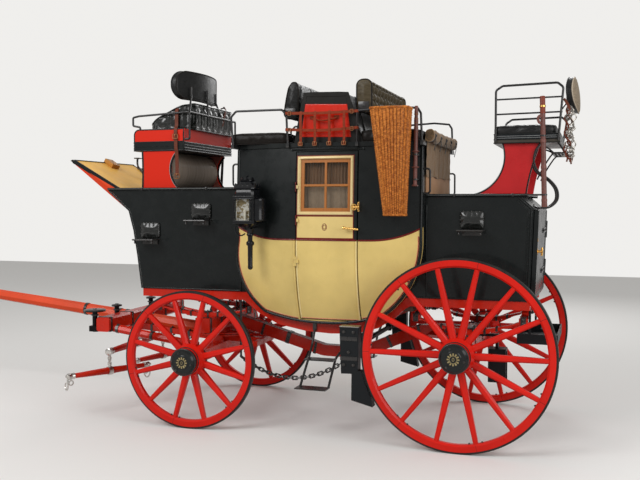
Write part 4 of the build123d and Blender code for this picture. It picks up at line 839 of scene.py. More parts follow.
def trunk():
    """The trunk's red end panels, corner leathers, handles and the strap net at the near side."""
    for side, name in NAMED_SIDES:
        y = side * 596
        corners = [(-1164, 2161), (-787, 2152), (-817, 2386), (-1133, 2398)]
        mid = Vector((-975, 2274))
        bm = bmesh.new()
        made = loops(bm, [[at(mid.x + (x - mid.x) * shrink, y + side * out,
                              mid.y + (z - mid.y) * shrink) for x, z in corners]
                          for shrink, out in ((1.0, 0), (0.985, 3), (0.94, 3.6))])
        bm.faces.new(made[-1])
        make("trunk_panel_" + name, bm, "red", smooth=False)
        bm = bmesh.new()
        edge = [(-1203, 2112), (-1133, 2466), (-817, 2458), (-712, 2112)]
        sweep(bm, [at(x, y, z) for x, z in run(edge, 60)], strap_section(34, 6), up=(0, side, 0))
        for x, z in run(edge, 70):
            turned(bm, [(4, 2), (3, 5), (0, 6)], at(x, y, z), (0, side, 0), 6)
        make("trunk_edge_" + name, bm, "trunk")
        bm = bmesh.new()
        grip = curve([at(-1072, y, 2296), at(-1060, y + side * 26, 2286),
                      at(-985, y + side * 36, 2272), at(-908, y + side * 26, 2286),
                      at(-896, y, 2296)], 6)
        sweep(bm, grip, strap_section(24, 9), up=(0, 0, 1))
        for x in (-1074, -894):
            block(bm, at(x - 20, y, 2284), at(x + 20, y + side * 7, 2310), 3)
        make("trunk_handle_" + name, bm, "tan")
        bm = bmesh.new()
        net_y = side * 641
        for z, sag in ((2329, 4), (2212, 10)):
            line = curve([at(-1262, side * 640, z + 3), at(-1120, net_y, z - sag * 0.6),
                          at(-985, net_y, z - sag), at(-860, net_y, z - sag * 0.6),
                          at(-738, side * 640, z + 2)], 5)
            sweep(bm, line, strap_section(20, 3.5), up=(0, side, 0))
            for x in (-1260, -736):
                loop = [at(x + 12 * math.cos(a), side * 629 + 12 * math.sin(a), z + 2)
                        for a in turns(14)]
                sweep(bm, loop, strap_section(20, 4), closed=True,
                      up=lambda p, x=x: p - at(x, side * 629, p.z * 1000))
        for x in (-1152, -1044, -936, -826):
            line = curve([at(x + 3, net_y + side * 3, 2340), at(x, net_y + side * 4, 2270),
                          at(x + 2, net_y + side * 4, 2190), at(x, net_y + side * 2, 2098)], 5)
            sweep(bm, line, strap_section(19, 3.2), up=(0, side, 0))
        make("trunk_net_" + name, bm, "tan")
        bm = bmesh.new()
        for x in (-1152, -1044, -936, -826):
            buckle(bm, at(x, net_y + side * 6, 2108), (0, 0, 1), (0, side, 0), 30, 3)
        for x, z in ((-1236, 2329), (-768, 2329), (-1236, 2210), (-768, 2208)):
            buckle(bm, at(x, net_y + side * 4, z), (1, 0, 0), (0, side, 0), 26, 2.6)
        make("trunk_net_buckles_" + name, bm, "copper")
    bm = bmesh.new()
    for y in (-360, 360):
        over = [(-1206, 2118), (-1139, 2460), (-1128, 2471), (-822, 2463), (-812, 2456),
                (-714, 2118)]
        sweep(bm, [at(x, y, z) for x, z in run(over, 90)], strap_section(45, 5),
              up=lambda p: p - at(-975, y, 2250))
    make("trunk_belts", bm, "brown_leather")


# Upholstery

PADS = []


def lattice(nu, nv, nw):
    """The surface points and faces of a box lattice, as index triples."""
    faces = []
    for k in (0, nw):
        faces += [[(i, j, k), (i + 1, j, k), (i + 1, j + 1, k), (i, j + 1, k)]
                  for i in range(nu) for j in range(nv)]
    for j in (0, nv):
        faces += [[(i, j, k), (i + 1, j, k), (i + 1, j, k + 1), (i, j, k + 1)]
                  for i in range(nu) for k in range(nw)]
    for i in (0, nu):
        faces += [[(i, j, k), (i, j + 1, k), (i, j + 1, k + 1), (i, j, k + 1)]
                  for j in range(nv) for k in range(nw)]
    return faces


def rounded(u, v, half_u, half_v, radius):
    """A point of a square field drawn into a rectangle with round corners."""
    x, y = u * half_u, v * half_v
    over_x, over_y = abs(x) - (half_u - radius), abs(y) - (half_v - radius)
    if over_x > 0 and over_y > 0:
        a, b = over_x / radius, over_y / radius
        x = math.copysign(half_u - radius + radius * a * math.sqrt(1 - b * b / 2), x)
        y = math.copysign(half_v - radius + radius * b * math.sqrt(1 - a * a / 2), y)
    return x, y


def puff(s, t):
    """How full the hide is at (s, t): 0 along the pleats between buttons, 1 mid diamond."""
    a = abs((s + t + 0.5) % 1 - 0.5) * 2
    b = abs((s - t + 0.5) % 1 - 0.5) * 2
    return math.sqrt(a * b)


def pad(name, nodes, material, counts, place, held, cap, pressure=0.0):
    """A stuffed piece on a box lattice. held(u, v, w) is how firmly its points keep their place,
    cap is how far the cloth may move them."""
    bm = bmesh.new()
    verts, grip = {}, {}
    for face in lattice(*counts):
        for key in face:
            if key not in verts:
                u, v, w = (2 * key[i] / counts[i] - 1 for i in range(3))
                verts[key] = bm.verts.new(place(u, v, w))
                grip[key] = held(u, v, w)
        bm.faces.new([verts[key] for key in face])
    bmesh.ops.recalc_face_normals(bm, faces=bm.faces)
    piece = ready_piece(name, bm, material, "coach", True, sharp=0)
    if nodes:
        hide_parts(*nodes)
    if cap:
        group = piece.vertex_groups.new(name="held")
        for index, weight in enumerate(grip.values()):
            if weight > 0:
                group.add([index], weight, "REPLACE")
        PADS.append((piece, cap, pressure))
    return piece


def held_under(u, v, w):
    """Fast below and along the top's edge, free elsewhere."""
    return 1.0 if w == -1 or (w == 1 and (abs(u) == 1 or abs(v) == 1)) else 0.0


def free_face(face, reach=1.0):
    """Fast everywhere but inside one face."""
    return lambda u, v, w: 0.0 if w == face and abs(u) < reach and abs(v) < reach else 1.0


def swell():
    """Blow up the pads together with cloth, cap how far a point moves, and keep the result."""
    if not PADS:
        return
    scene, last = bpy.context.scene, 20
    for piece, _, pressure in PADS:
        cloth = piece.modifiers.new("swell", "CLOTH")
        settings = cloth.settings
        settings.quality = 6
        settings.mass = 0.4
        settings.tension_stiffness = 12
        settings.compression_stiffness = 12
        settings.shear_stiffness = 5
        settings.bending_stiffness = 1.2
        settings.use_pressure = True
        settings.uniform_pressure_force = pressure
        settings.effector_weights.gravity = 0.0
        settings.vertex_group_mass = "held"
        settings.shrink_min = -0.03
        cloth.collision_settings.use_collision = False
        cloth.point_cache.frame_end = last + 4
    for number in range(1, last + 1):
        scene.frame_set(number)
    graph = bpy.context.evaluated_depsgraph_get()
    for piece, cap, _ in PADS:
        swollen = piece.evaluated_get(graph).to_mesh()
        moved = [vert.co.copy() for vert in swollen.vertices]
        piece.evaluated_get(graph).to_mesh_clear()
        for vert, goal in zip(piece.data.vertices, moved):
            step = goal - vert.co
            if step.length > cap:
                step *= cap / step.length
            vert.co += step
        piece.modifiers.clear()
        piece.vertex_groups.clear()
    scene.frame_set(1)


def seam(bm, counts, place, w, radius):
    """Piping round the edge of a pad's face w."""
    nu, nv = counts[:2]
    ring = ([(2 * i / nu - 1, -1) for i in range(nu)] + [(1, 2 * j / nv - 1) for j in range(nv)]
            + [(1 - 2 * i / nu, 1) for i in range(nu)] + [(-1, 1 - 2 * j / nv) for j in range(nv)])
    sweep(bm, [place(u, v, w) for u, v in ring], circle(radius, 7), closed=True)


def roof_z(y):
    return 2111 + 36 * (1 - (y / 670) ** 2)


def roof_cushions():
    """The two roof seats' cushions, on the cambered roof, and the hind seat's."""
    for name, x0, x1, sag in (("front", -1727, -1266, 9), ("rear", -720, -288, 4)):
        counts = (60, 24, 6)

        def place(u, v, w, x0=x0, x1=x1, sag=sag):
            y, x = rounded(u, v, 598, (x1 - x0) / 2 - 2, 38)
            bulge = 5 * (1 - w * w)
            low, high = roof_z(y) + 1.5, 2188 - sag * (1 - u ** 2) + 10 * (1 - v ** 4) * (1 - u ** 8)
            k = 1 + bulge / 600 if abs(u) == 1 else 1
            kv = 1 + bulge / 230 if abs(v) == 1 else 1
            return at((x0 + x1) / 2 + x * kv, y * k, low + (high - low) * (w + 1) / 2)

        pad("roof_cushion_" + name, ["seat_cushions"], "brown_leather", counts,
            place, held_under, 0.012, 2.5)
        bm = bmesh.new()
        seam(bm, counts, place, 1, 4.5)
        seam(bm, counts, place, -1, 4)
        for u in (-0.6, -0.2, 0.2, 0.6):
            turned(bm, [(11, -4), (10, 2), (5, 4), (0, 4.5)],
                   place(u, 0, 1) + Vector((0, 0, 0.003)), (0, 0, 1), 12)
        make("roof_cushion_piping_" + name, bm, "brown_leather")

    counts = (34, 22, 5)

    def hind(u, v, w):
        y, x = rounded(u, v, 327, 207, 42)
        low, high = 2167.0, 2216 + 12 * (1 - v ** 4) * (1 - u ** 4)
        bulge = 1 + 0.018 * (1 - w * w)
        return at(391 + x * bulge, y * bulge, low + (high - low) * (w + 1) / 2)

    pad("hind_cushion", ["seat_cushions"], "black_leather", counts, hind,
        held_under, 0.010, 2.5)
    bm = bmesh.new()
    seam(bm, counts, hind, 1, 4.5)
    seam(bm, counts, hind, -1, 4.5)
    for u in (-0.5, 0.0, 0.5):
        for v in (-0.4, 0.4):
            turned(bm, [(10, -4), (9, 2), (5, 4), (0, 4.5)], hind(u, v, 1) + Vector((0, 0, 0.002)),
                   (0, 0, 1), 12)
    make("hind_cushion_piping", bm, "black_leather")


def box_wedge():
    """The driver's deep-buttoned wedge cushion with its fluted ends."""
    counts = (96, 42, 12)
    columns, rows = 7, 3

    def place(u, v, w):
        y, x = rounded(u, v, 428, 185, 112)
        share = (x + 185) / 370
        top = 2270 + 36 + 168 * share
        full = puff((u + 1) / 2 * columns, (v + 1) / 2 * rows)
        edge = min(1.0, (1 - abs(u)) * 9) * min(1.0, (1 - abs(v)) * 6)
        height = (top - 2270.6) * (w + 1) / 2
        if w == 1:
            height += 10 * (1 - v ** 4) - 24 * (1 - full) * edge
        swell_side = 8 * (1 - w * w)
        flute = 0.0
        if abs(w) < 1:
            run_at = y if abs(v) == 1 else x
            flute = 17 * (abs(math.sin(run_at / 34.0)) - 0.7) * (1 - w * w)
        grow = swell_side + flute
        if abs(u) == 1:
            y += math.copysign(grow - 5, y)
        if abs(v) == 1:
            x += math.copysign(grow - 5, x)
        return at(-2354 + x, y + 30, 2270.8 + height)

    def held(u, v, w):
        if held_under(u, v, w):
            return 1.0
        if w == 1:
            return 1.0 if puff((u + 1) / 2 * columns, (v + 1) / 2 * rows) < 0.12 else 0.0
        return 0.55

    pad("box_wedge_cushion", ["box_cushion"], "black_patent", counts, place,
        held, 0.014, 5.0)
    bm = bmesh.new()
    seam(bm, counts, place, 1, 4.8)
    seam(bm, counts, place, -1, 4.8)
    for a in range(1, 2 * columns):
        for b in range(1, 2 * rows):
            if (a + b) % 2 == 0:
                turned(bm, [(9.5, -4), (8.5, 2), (5, 4.2), (0, 5)],
                       place(a / columns - 1, b / rows - 1, 1) + Vector((0, 0, 0.001)),
                       (-0.2, 0, 1), 12)
    make("box_wedge_piping", bm, "black_patent")


def roof_rolls():
    """The roof seats' backs: a smooth one in front, a pleated one behind."""
    for name, x_mid, z_mid, half_x, half_z, pleated in (
            ("front", -1264, 2434, 56, 132, False), ("rear", -708, 2448, 56, 117, True)):
        counts = (10, 22, 112) if pleated else (10, 20, 64)
        columns, rows = 11, 2

        def place(u, v, w, x_mid=x_mid, z_mid=z_mid, half_x=half_x, half_z=half_z,
                  pleated=pleated):
            x, z = rounded(u, v, half_x, half_z, 46)
            if not pleated:
                x = half_x - (half_x - x) * (1 - 0.42 * ((v + 1) / 2) ** 1.6)
            y = w * 536
            if pleated and abs(w) < 1 and u == 1:
                full = puff((w + 1) / 2 * columns, (v + 1) / 2 * rows)
                calm = min(1.0, (1 - abs(w)) * 14) * min(1.0, (1 - abs(v)) * 5)
                x -= 36 * (1 - full) * calm
            if abs(w) == 1:
                y += math.copysign(9 * (1 - u * u) * (1 - v * v), y)
            return at(x_mid + x, y, z_mid + z)

        def held(u, v, w, pleated=pleated):
            if abs(w) == 1:
                return 1.0 if abs(u) == 1 or abs(v) == 1 else 0.2
            if v == -1:
                return 0.8
            if pleated and u == 1:
                return 1.0 if puff((w + 1) / 2 * columns, (v + 1) / 2 * rows) < 0.14 else 0.0
            return 0.35 if abs(v) == 1 or abs(u) == 1 and abs(v) > 0.7 else 0.1

        hide = "olive_leather" if pleated else "black_leather"
        pad("roof_back_" + name, ["roof_backs"], hide, counts, place, held,
            0.008, 3.0)
        bm = bmesh.new()
        for w in (-1, 1):
            seam(bm, counts, place, w, 5.2)
        if pleated:
            for a in range(1, 2 * columns):
                if a % 2 == 0:
                    turned(bm, [(8, -6), (7.5, 1), (4, 3), (0, 3.5)], place(1, 0, a / columns - 1),
                           (1, 0, 0), 10)
        make("roof_back_piping_" + name, bm, "brown_leather")
    bm = bmesh.new()
    for x, low in ((-1264, 2300), (-708, 2330)):
        for side in SIDES:
            block(bm, at(x - 40, side * 549 - 4, low + 20), at(x + 40, side * 549 + 4, low + 76), 2)
            nut(bm, at(x, side * 553, low + 48), (0, side, 0), 10, 6)
    make("roof_back_plates", bm, "iron")


def back_rests():
    """The driver's bowed back pad and the hind seat's oval one."""
    rear_x = -2160.3
    counts = (44, 18, 4)

    def bowed(u, v, w):
        y, z = rounded(u, v, 358, 108, 100)
        edge = (1 - u ** 4) * (1 - v ** 4)
        x = rear_x - 1.0 - 95 * (y / 360) ** 2 - 22 * (1 - w)
        if w == -1:
            x -= 9 * edge
        return at(x, -90 + y, 2616 + z)

    pad("driver_back_pad", ["back_pads"], "black_leather", counts, bowed,
        free_face(-1), 0.010, 3.0)
    bm = bmesh.new()
    seam(bm, counts, bowed, 1, 4.5)
    make("driver_back_piping", bm, "brown_leather")
    bm = bmesh.new()
    seam(bm, counts, bowed, -1, 4.5)
    for y, z in ((-220, 0), (0, 0), (220, 0)):
        for step in (-24, 24):
            spot = at(rear_x + 8 - 95 * (y / 360) ** 2, -110 + y, 2566 + step)
            nut(bm, spot, (1, 0, 0), 7, 4)
    make("driver_back_fixings", bm, "black_leather")

    counts = (28, 20, 4)

    def oval(u, v, w):
        a, b = u * math.sqrt(1 - v * v / 2), v * math.sqrt(1 - u * u / 2)
        rim = a * a + b * b
        x = 708 - 26 * a * a + 27 * w * (1 - 0.28 * rim) - 14 * b
        if w == 1:
            x += 6 * (1 - rim)
        elif w == -1:
            x -= 6 * (1 - rim)
        return at(x, 188 * a, 2456 + 128 * b)

    rest = pad("guard_back_pad", ["back_pads"], "black_leather", counts, oval,
               free_face(1), 0.008, 3.0)
    rest.data.materials.append(M["drab_hide"])
    for polygon in rest.data.polygons:
        if polygon.normal.x > 0.5:
            polygon.material_index = 1
    bm = bmesh.new()
    seam(bm, counts, oval, 1, 4.5)
    make("guard_back_piping", bm, "pale_piping")
    bm = bmesh.new()
    seam(bm, counts, oval, -1, 4.5)
    make("guard_back_front_piping", bm, "black_leather")


def step_flaps():
    """Rounded leather flaps over the iron steps, studded along their tops."""
    table = ((-2482, 1393), (-2034, 1546), (53, 1490))
    studs = bmesh.new()
    knobs = bmesh.new()
    for number, (x_mid, plate_z) in enumerate(table):
        for side, name in NAMED_SIDES:
            counts = (16, 14, 4)
            wall = side * 466

            def place(u, v, w, x_mid=x_mid, plate_z=plate_z, side=side, wall=wall):
                x, z = rounded(u, v, 85, 64, 26)
                flat = (1 - u ** 4) * (1 - v ** 4)
                out = (w + 1) / 2 * (9 + 13 * flat)
                ripple = 1.6 * math.sin(u * 17) * max(0.0, v - 0.5) if w == 1 else 0.0
                return at(x_mid + x, wall + side * (out + ripple), plate_z + 76 + z)

            pad(f"step_flap_{number}_{name}", ["step_pads"], "black_patent",
                counts, place, free_face(1, 0.9), 0.006, 2.0)
            edge = [(u, v) for u in SIDES for v in (-0.5, 0.0, 0.5)]
            edge += [(u, 1) for u in (-0.7, -0.35, 0.0, 0.35, 0.7)]
            for u, v in edge:
                turned(studs, [(4.5, 0), (3.8, 2), (0, 3.4)], place(u * 0.93, v * 0.91, 1),
                       (0, side, 0), 8)
            y_out = side * 595
            for x in (x_mid - 74, x_mid + 74):
                turned(knobs, [(8, 0), (10, 4), (6, 10), (9, 18), (6, 26), (0, 28)],
                       at(x, y_out - side * 14, plate_z), (0, 0, -1), 12)
            line = [at(x_mid - 90, y_out, plate_z + 4), at(x_mid + 90, y_out, plate_z + 4)]
            sweep(knobs, line, circle(6.2, 8))
    make("step_flap_studs", studs, "iron")
    make("step_knobs", knobs, "iron")


def cabin_seats():
    """The inside benches: seat boxes, cushions and buttoned squabs."""
    base = bmesh.new()
    for x0, x1 in ((-1601, -1232), (-740, -371)):
        block(base, at(x0, -438, 902), at(x1, 438, 1128), 4)
    boxes = make("cabin_seat_boxes", base, "drab")
    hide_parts("cabin_benches")
    for name, face, away in (("front", -1671, 1), ("rear", -301, -1)):
        def seat(u, v, w, face=face, away=away):
            y, x = rounded(u, v, 466, 163, 30)
            return at(face + away * (237 + x), y, 1131 + 55 * (w + 1)
                      + (14 * (1 - u ** 4) * (1 - v ** 4) if w == 1 else 0))

        def squab(u, v, w, face=face, away=away):
            y, z = rounded(u, v, 466, 178, 26)
            full = puff((u + 1) / 2 * 7, (v + 1) / 2 * 3)
            calm = min(1.0, (1 - abs(u)) * 9) * min(1.0, (1 - abs(v)) * 6)
            out = 3 + 25 * (w + 1)
            if w == 1:
                out += 12 - 18 * (1 - full) * calm
            return at(face + away * out, y, 1441 + z)

        pad("cabin_cushion_" + name, [], "lining", (40, 16, 4), seat,
            lambda u, v, w: 1.0, 0)
        pad("cabin_squab_" + name, [], "lining", (84, 36, 3), squab,
            lambda u, v, w: 1.0, 0)


# Painted zones of the seats and the footboard

def box_paint():
    """Red end boards and panels, a black band round the seat's foot, a drab barrel back."""
    paint = Paint("box_seat_panels")
    _, y, z = paint.split()
    outer = paint.math("ABSOLUTE", y)
    band = paint.between(z, 2.094, 2.169, 0.0006)
    under = paint.ramp(z, 2.0935, 2.0945, 1.0, 0.0)
    barrel = paint.both(under, paint.ramp(outer, 0.4065, 0.4075, 1.0, 0.0))
    grain = paint.noise(9.0, 5.0, 0.6, vector=paint.mapped((0.3, 4.0, 0.5)))
    drab = paint.mix(paint.ramp(grain, 0.35, 0.7), (0.40, 0.315, 0.250), (0.30, 0.235, 0.185))
    colour = paint.mix(band, RED, BLACK)
    colour = paint.mix(barrel, colour, drab)
    top = paint.both(paint.ramp(z, 2.2685, 2.2692), paint.ramp(outer, 0.424, 0.428, 1.0, 0.0))
    colour = paint.mix(top, colour, BLACK)
    matt = paint.ramp(barrel, 0.0, 1.0, 0.30, 0.72)
    paint.bump(paint.noise(26.0, 2.0), 0.05, 0.002)
    return paint.finish(colour, matt, coat=0.04, specular=0.16)


def hind_paint():
    """The hind seat: red end boards under a black seat box with a greyer foot."""
    paint = Paint("hind_seat_panels")
    _, _, z = paint.split()
    seat = paint.ramp(z, 2.099, 2.1005)
    foot = paint.both(seat, paint.ramp(z, 2.127, 2.128, 1.0, 0.0))
    colour = paint.mix(seat, (0.52, 0.020, 0.022), (0.0095, 0.0115, 0.0150))
    colour = paint.mix(foot, colour, (0.060, 0.052, 0.042))
    return coach_paint(paint, colour, rough=0.28, coat=0.25)


def foot_paint():
    """The footboard: a cream tread with black edges over red cheeks."""
    paint = Paint("footboard_paints")
    x, y, z = paint.split()
    heel_x, toe_x = (-2777 + SHIFT) * MM, (-3190 + SHIFT) * MM
    line = paint.ramp(x, toe_x, heel_x, 2.034, 1.8043)
    under = paint.math("SUBTRACT", line, z)
    board = paint.ramp(under, 0.030, 0.031, 1.0, 0.0)
    tread = paint.ramp(under, 0.0035, 0.0045, 1.0, 0.0)
    scuff = paint.ramp(paint.noise(7.0, 7.0, 0.7), 0.45, 0.75, 0.0, 0.35)
    cream = paint.mix(scuff, (0.99, 0.57, 0.125), (0.82, 0.44, 0.08))
    colour = paint.mix(board, (0.66, 0.050, 0.012), BLACK)
    colour = paint.mix(tread, colour, cream)
    inside = paint.ramp(paint.math("ABSOLUTE", y), 0.4515, 0.4525)
    colour = paint.mix(paint.both(inside, board), colour, BLACK)
    return coach_paint(paint, colour, rough=0.36, coat=0.15)


dress_node("box_seat", box_paint())
dress_node("guard_seat", hind_paint())
dress_node("footboard", foot_paint())


def box_trim():
    """Edge mouldings of the driver's box, its straps, and the footboard's fittings."""
    front, rear = -2642, -2195
    for side, name in NAMED_SIDES:
        bm = bmesh.new()
        y = side * 440
        rim = (run([(front, 2096), (front, 2224)], 30)[:-1]
               + arc((front, 2224), (-2628.5, 2256.5), (-2596, 2270), 7)[:-1]
               + run([(-2596, 2270), (rear, 2270), (rear, 2096), (front, 2096)], 40))
        bead(bm, inset(rim, -5), y, 10, 4)
        for z in (2169, 2132):
            bead(bm, run([(-2640, z), (-2197, z)], 60), y, 7 if z > 2150 else 5, 3.5)
        pale = bmesh.new()
        edges = (arc((-2562, 2094), (-2558, 1950), (-2562, 1806), 16),
                 arc((-2262, 1806), (-2326, 1950), (-2262, 2094), 20))
        for edge in edges:
            bead(bm, inset(edge, -7), side * 433, 16, 6)
        # Pale line along the riser's hollow rear edge: a painted highlight beside the glossy black
        # bead
        bead(pale, inset(edges[1], 0.5), side * 434, 5, 3)
        make("box_edges_" + name, bm, "black")
        make("box_edge_highlight_" + name, pale, "edge_highlight_line")
    bm = bmesh.new()
    for z, width in ((2163, 12), (2140, 10), (2118, 12), (2100, 8)):
        cross_bead(bm, rear, z, range(-438, 439, 73), width, 6, 1)
        cross_bead(bm, front, z, range(-438, 439, 73), width, 5, -1)
    make("box_back_lines", bm, "black")

    def strap(name, points, width, up, tail):
        bm = bmesh.new()
        sweep(bm, curve(points, 5), strap_section(width, 4.5), up=up)
        for z in tail:
            turned(bm, [(4.5, 0), (3.5, 1.6), (0, 2)], z, up, 8)
        make(name, bm, "strap_brown")

    strap("cushion_strap_near",
          [at(-2276, -210, 2446), at(-2274, -310, 2444), at(-2272, -385, 2436),
           at(-2271, -414, 2408), at(-2270, -420, 2352), at(-2269, -422, 2300),
           at(-2268, -434, 2278), at(-2266, -446, 2262), at(-2264, -448, 2180),
           at(-2262, -448, 2110), at(-2260, -444, 2088), at(-2259, -440, 2030),
           at(-2257, -440, 1960), at(-2257, -441, 1900)], 30, (0, -1, 0.25),
          [at(-2258, -443.5, z) for z in (1930, 1950, 1970)])
    strap("cushion_strap_far", [at(-2420, 318, 2402), at(-2330, 306, 2444), at(-2250, 298, 2482),
                                at(-2206, 288, 2502), at(-2176, 276, 2500), at(-2164, 258, 2470),
                                at(-2163, 232, 2420), at(-2163, 200, 2350), at(-2176, 184, 2300),
                                at(-2190, 176, 2278)], 28, lambda p: Vector((-0.3, 0.0, 0.95))
          if p.x * 1000 - SHIFT < -2190 else Vector((1.0, 0.1, 0.3)), [])
    bm = bmesh.new()
    buckle(bm, at(-2265, -451, 2206), (0, 0, 1), (0, -1, 0), 42, 3.6)
    buckle(bm, at(-2257, -443, 1896), (0, 0, 1), (0, -1, 0), 44, 3.6)
    make("cushion_buckles", bm, "copper")
    keep = bmesh.new()
    for z in (2226, 2184):
        loop = [at(-2265 + dx, -440 - dy, z) for dx, dy in ((-18, 4), (-18, 13), (18, 13), (18, 4))]
        sweep(keep, loop, strap_section(12, 3), closed=True, up=(0, 0, 1))
    make("cushion_strap_keepers", keep, "strap_brown")

    edge = bmesh.new()
    heel, toe = (-2777, 1804.3), (-3190, 2034)
    for side in SIDES:
        line = run([heel, toe], 50)
        sweep(edge, [at(x, side * 449, z + 1) for x, z in line], strap_section(10, 6),
              up=(0, 0, 1))
        sweep(edge, [at(x, side * 436, z + 1) for x, z in line], strap_section(4, 4), up=(0, 0, 1))
    sweep(edge, [at(-3190, y, 2036) for y in range(-450, 451, 90)], strap_section(12, 8),
          up=(0, 0, 1))
    sweep(edge, [at(-3214, y, 2033) for y in range(-450, 451, 90)], circle(8, 8))
    make("footboard_edges", edge, "black")
    wedge = bmesh.new()
    outline = [(-2854, 1802.5), (-2811, 1805.5), (-2980, 1894), (-3086, 1950), (-3066, 1941)]
    for side in SIDES:
        outer, inner = loops(wedge, [[at(x, side * y, z) for x, z in outline] for y in (454, 432)])
        wedge.faces.new(outer)
        wedge.faces.new(inner[::-1])
    make("footboard_wedges", wedge, "pole_red", smooth=False)
    slope = math.atan2(toe[1] - heel[1], heel[0] - toe[0])

    def on_board(x, y, lift):
        z = heel[1] + (heel[0] - x) * math.tan(slope)
        return at(x - lift * math.sin(slope), y, z + lift * math.cos(slope))

    bm = bmesh.new()
    low, high = on_board(-3208, -30, 0), on_board(-3084, 60, 0)
    place = Matrix.Translation((low + high) / 2) @ Matrix.Rotation(slope, 4, "Y") @ \
        Matrix.Rotation(math.radians(-14), 4, "Z")
    block(bm, (-0.058, -0.044, 0.0), (0.058, 0.044, 0.038), 6, 3, place)
    make("foot_block", bm, "block_wood")
    bm = bmesh.new()
    for x, y in ((-0.038, -0.026), (-0.038, 0.026), (0.038, -0.026), (0.038, 0.026), (0.0, 0.0)):
        turned(bm, [(6, 0), (5, 1.2), (0, 1.4)], place @ Vector((x, y, 0.038)),
               place.to_3x3() @ AXIS_Z, 8)
    pedal = curve([at(-2918, 204, 1884), at(-2932, 204, 1920), at(-2952, 202, 1962),
                   at(-2990, 200, 2010), at(-2996, 200, 2060), at(-2990, 200, 2082)], 5)
    sweep(bm, pedal, strap_section(18, 9), up=(0, 1, 0))
    block(bm, at(-3012, 168, 2076), at(-2968, 232, 2086), 3)
    loop = curve([on_board(-3120, 430, 2), on_board(-3020, 432, 58), on_board(-2900, 434, 96),
                  on_board(-2820, 436, 70), on_board(-2786, 438, 6)], 6)
    sweep(bm, loop, circle(8.5, 8))
    for x, y in ((-3120, 430), (-2786, 438), (-2912, 204)):
        turned(bm, [(22, 0), (22, 3), (12, 6), (11, 12), (0, 12)], on_board(x, y, 1),
               (-math.sin(slope), 0, math.cos(slope)), 14)
    make("foot_irons", bm, "iron")


def boot_trim():
    """Lid and edge mouldings of both boots, the lid studs, and the rear door's handle."""
    bm = bmesh.new()
    pale = bmesh.new()
    for side in SIDES:
        up = (0, side, 0)
        for x0, x1, z in ((-2866, -1700, 1790), (-270, 430, 1732)):
            y = side * LID_EDGE
            line = run([(x0 + 2, z), (x1, z)], 80)
            sweep(bm, [at(x, y, zz + 13) for x, zz in line], half_round(6, 4), up=up)
            sweep(bm, [at(x, y, zz + 2) for x, zz in line], half_round(6, 4), up=up)
            sweep(bm, [at(x, side * BOOT_WALL, zz - 6) for x, zz in line], half_round(10, 5),
                  up=up)
            # Pale line between the lid beads: a painted highlight along the lid moulding
            sweep(pale, [at(x, y + side * 0.2, zz + 7.5) for x, zz in line],
                  half_round(1.8, 1.2), up=up)
        front = [(-2851, 1786), (-2669, 1628), (-2625, 1469), (-2591, 1261), (-2557, 1008)]
        bead(bm, inset(run(front, 60), -7), side * BOOT_WALL, 14, 7)
        # Pale line along the boot's front edge: a painted highlight on its bevel
        bead(pale, inset(run(front, 60), -1.5), side * (BOOT_WALL + 0.3), 3, 1.5)
        for depth, width in ((-8, 14), (-24, 7), (-34, 5)):
            line = run([(377, 1724), (463, 1647), (444, 1012)], 60)
            bead(bm, inset(line, depth), side * BOOT_WALL, width, width * 0.45)
        sweep(bm, [at(-268, side * BOOT_WALL, z) for z in range(1010, 1730, 60)],
              half_round(12, 6), up=up)
        sweep(bm, [at(-1704, side * BOOT_WALL, z) for z in range(1010, 1790, 60)],
              half_round(12, 6), up=up)
        sweep(bm, [at(x, side * BOOT_WALL, 1013) for x in range(-2550, -1650, 60)],
              half_round(12, 6), up=up)
        sweep(bm, [at(x, side * BOOT_WALL, 1013) for x in range(-330, 450, 60)],
              half_round(12, 6), up=up)
    cross_bead(bm, -2866, 1797, range(-470, 471, 94), 10, 5, -1)
    make("boot_mouldings", bm, "black")
    make("boot_highlights", pale, "edge_highlight_line")
    bm = bmesh.new()
    for side in SIDES:
        for x, z in ((-2550, 1797), (-1988, 1797), (-70, 1739), (330, 1739)):
            turned(bm, [(12, 0), (11, 3), (8.5, 4), (7.5, 9), (0, 11)],
                   at(x, side * (LID_EDGE + 0.5), z), (0, side, 0), 14)
    make("boot_studs", bm, "iron")
    bm = bmesh.new()
    lean = (0.9994, 0, 0.0342)
    face = 470 - 22 * (1649 - 1330) / 643 + 30

    def on_door(y, z, out=0.0):
        return at(face + 22 * (z - 1330) / 643 + out, y, z)

    turned(bm, [(24, 0), (24, 3), (18, 5), (10, 7), (9, 26), (13, 30), (13, 36), (0, 38)],
           on_door(-396, 1350), lean, 20)
    sweep(bm, [on_door(-396, 1322, 30), on_door(-396, 1330, 33), on_door(-396, 1370, 33),
               on_door(-396, 1378, 30)], circle(7.5, 10))
    turned(bm, [(15, 0), (15, 2), (11, 4), (0, 4.5)], on_door(-396, 1430), lean, 18)
    make("boot_door_handle", bm, "brass", "boot_door")
    bm = bmesh.new()
    for depth, width in ((14, 12), (34, 6)):
        line = [on_door(y, z) for y, z in rectangle(depth - 461, 461 - depth, 1010 + depth,
                                                    1640 - depth)]
        sweep(bm, line, half_round(width, width * 0.4), closed=True, up=lean)
    make("boot_door_mouldings", bm, "black", "boot_door")
    bm = bmesh.new()
    for level in (1180, 1480):
        for y in (140, 230, 320, 420):
            nut(bm, on_door(y, level, 6), lean, 8, 4)
    make("boot_door_bolts", bm, "iron", "boot_door")


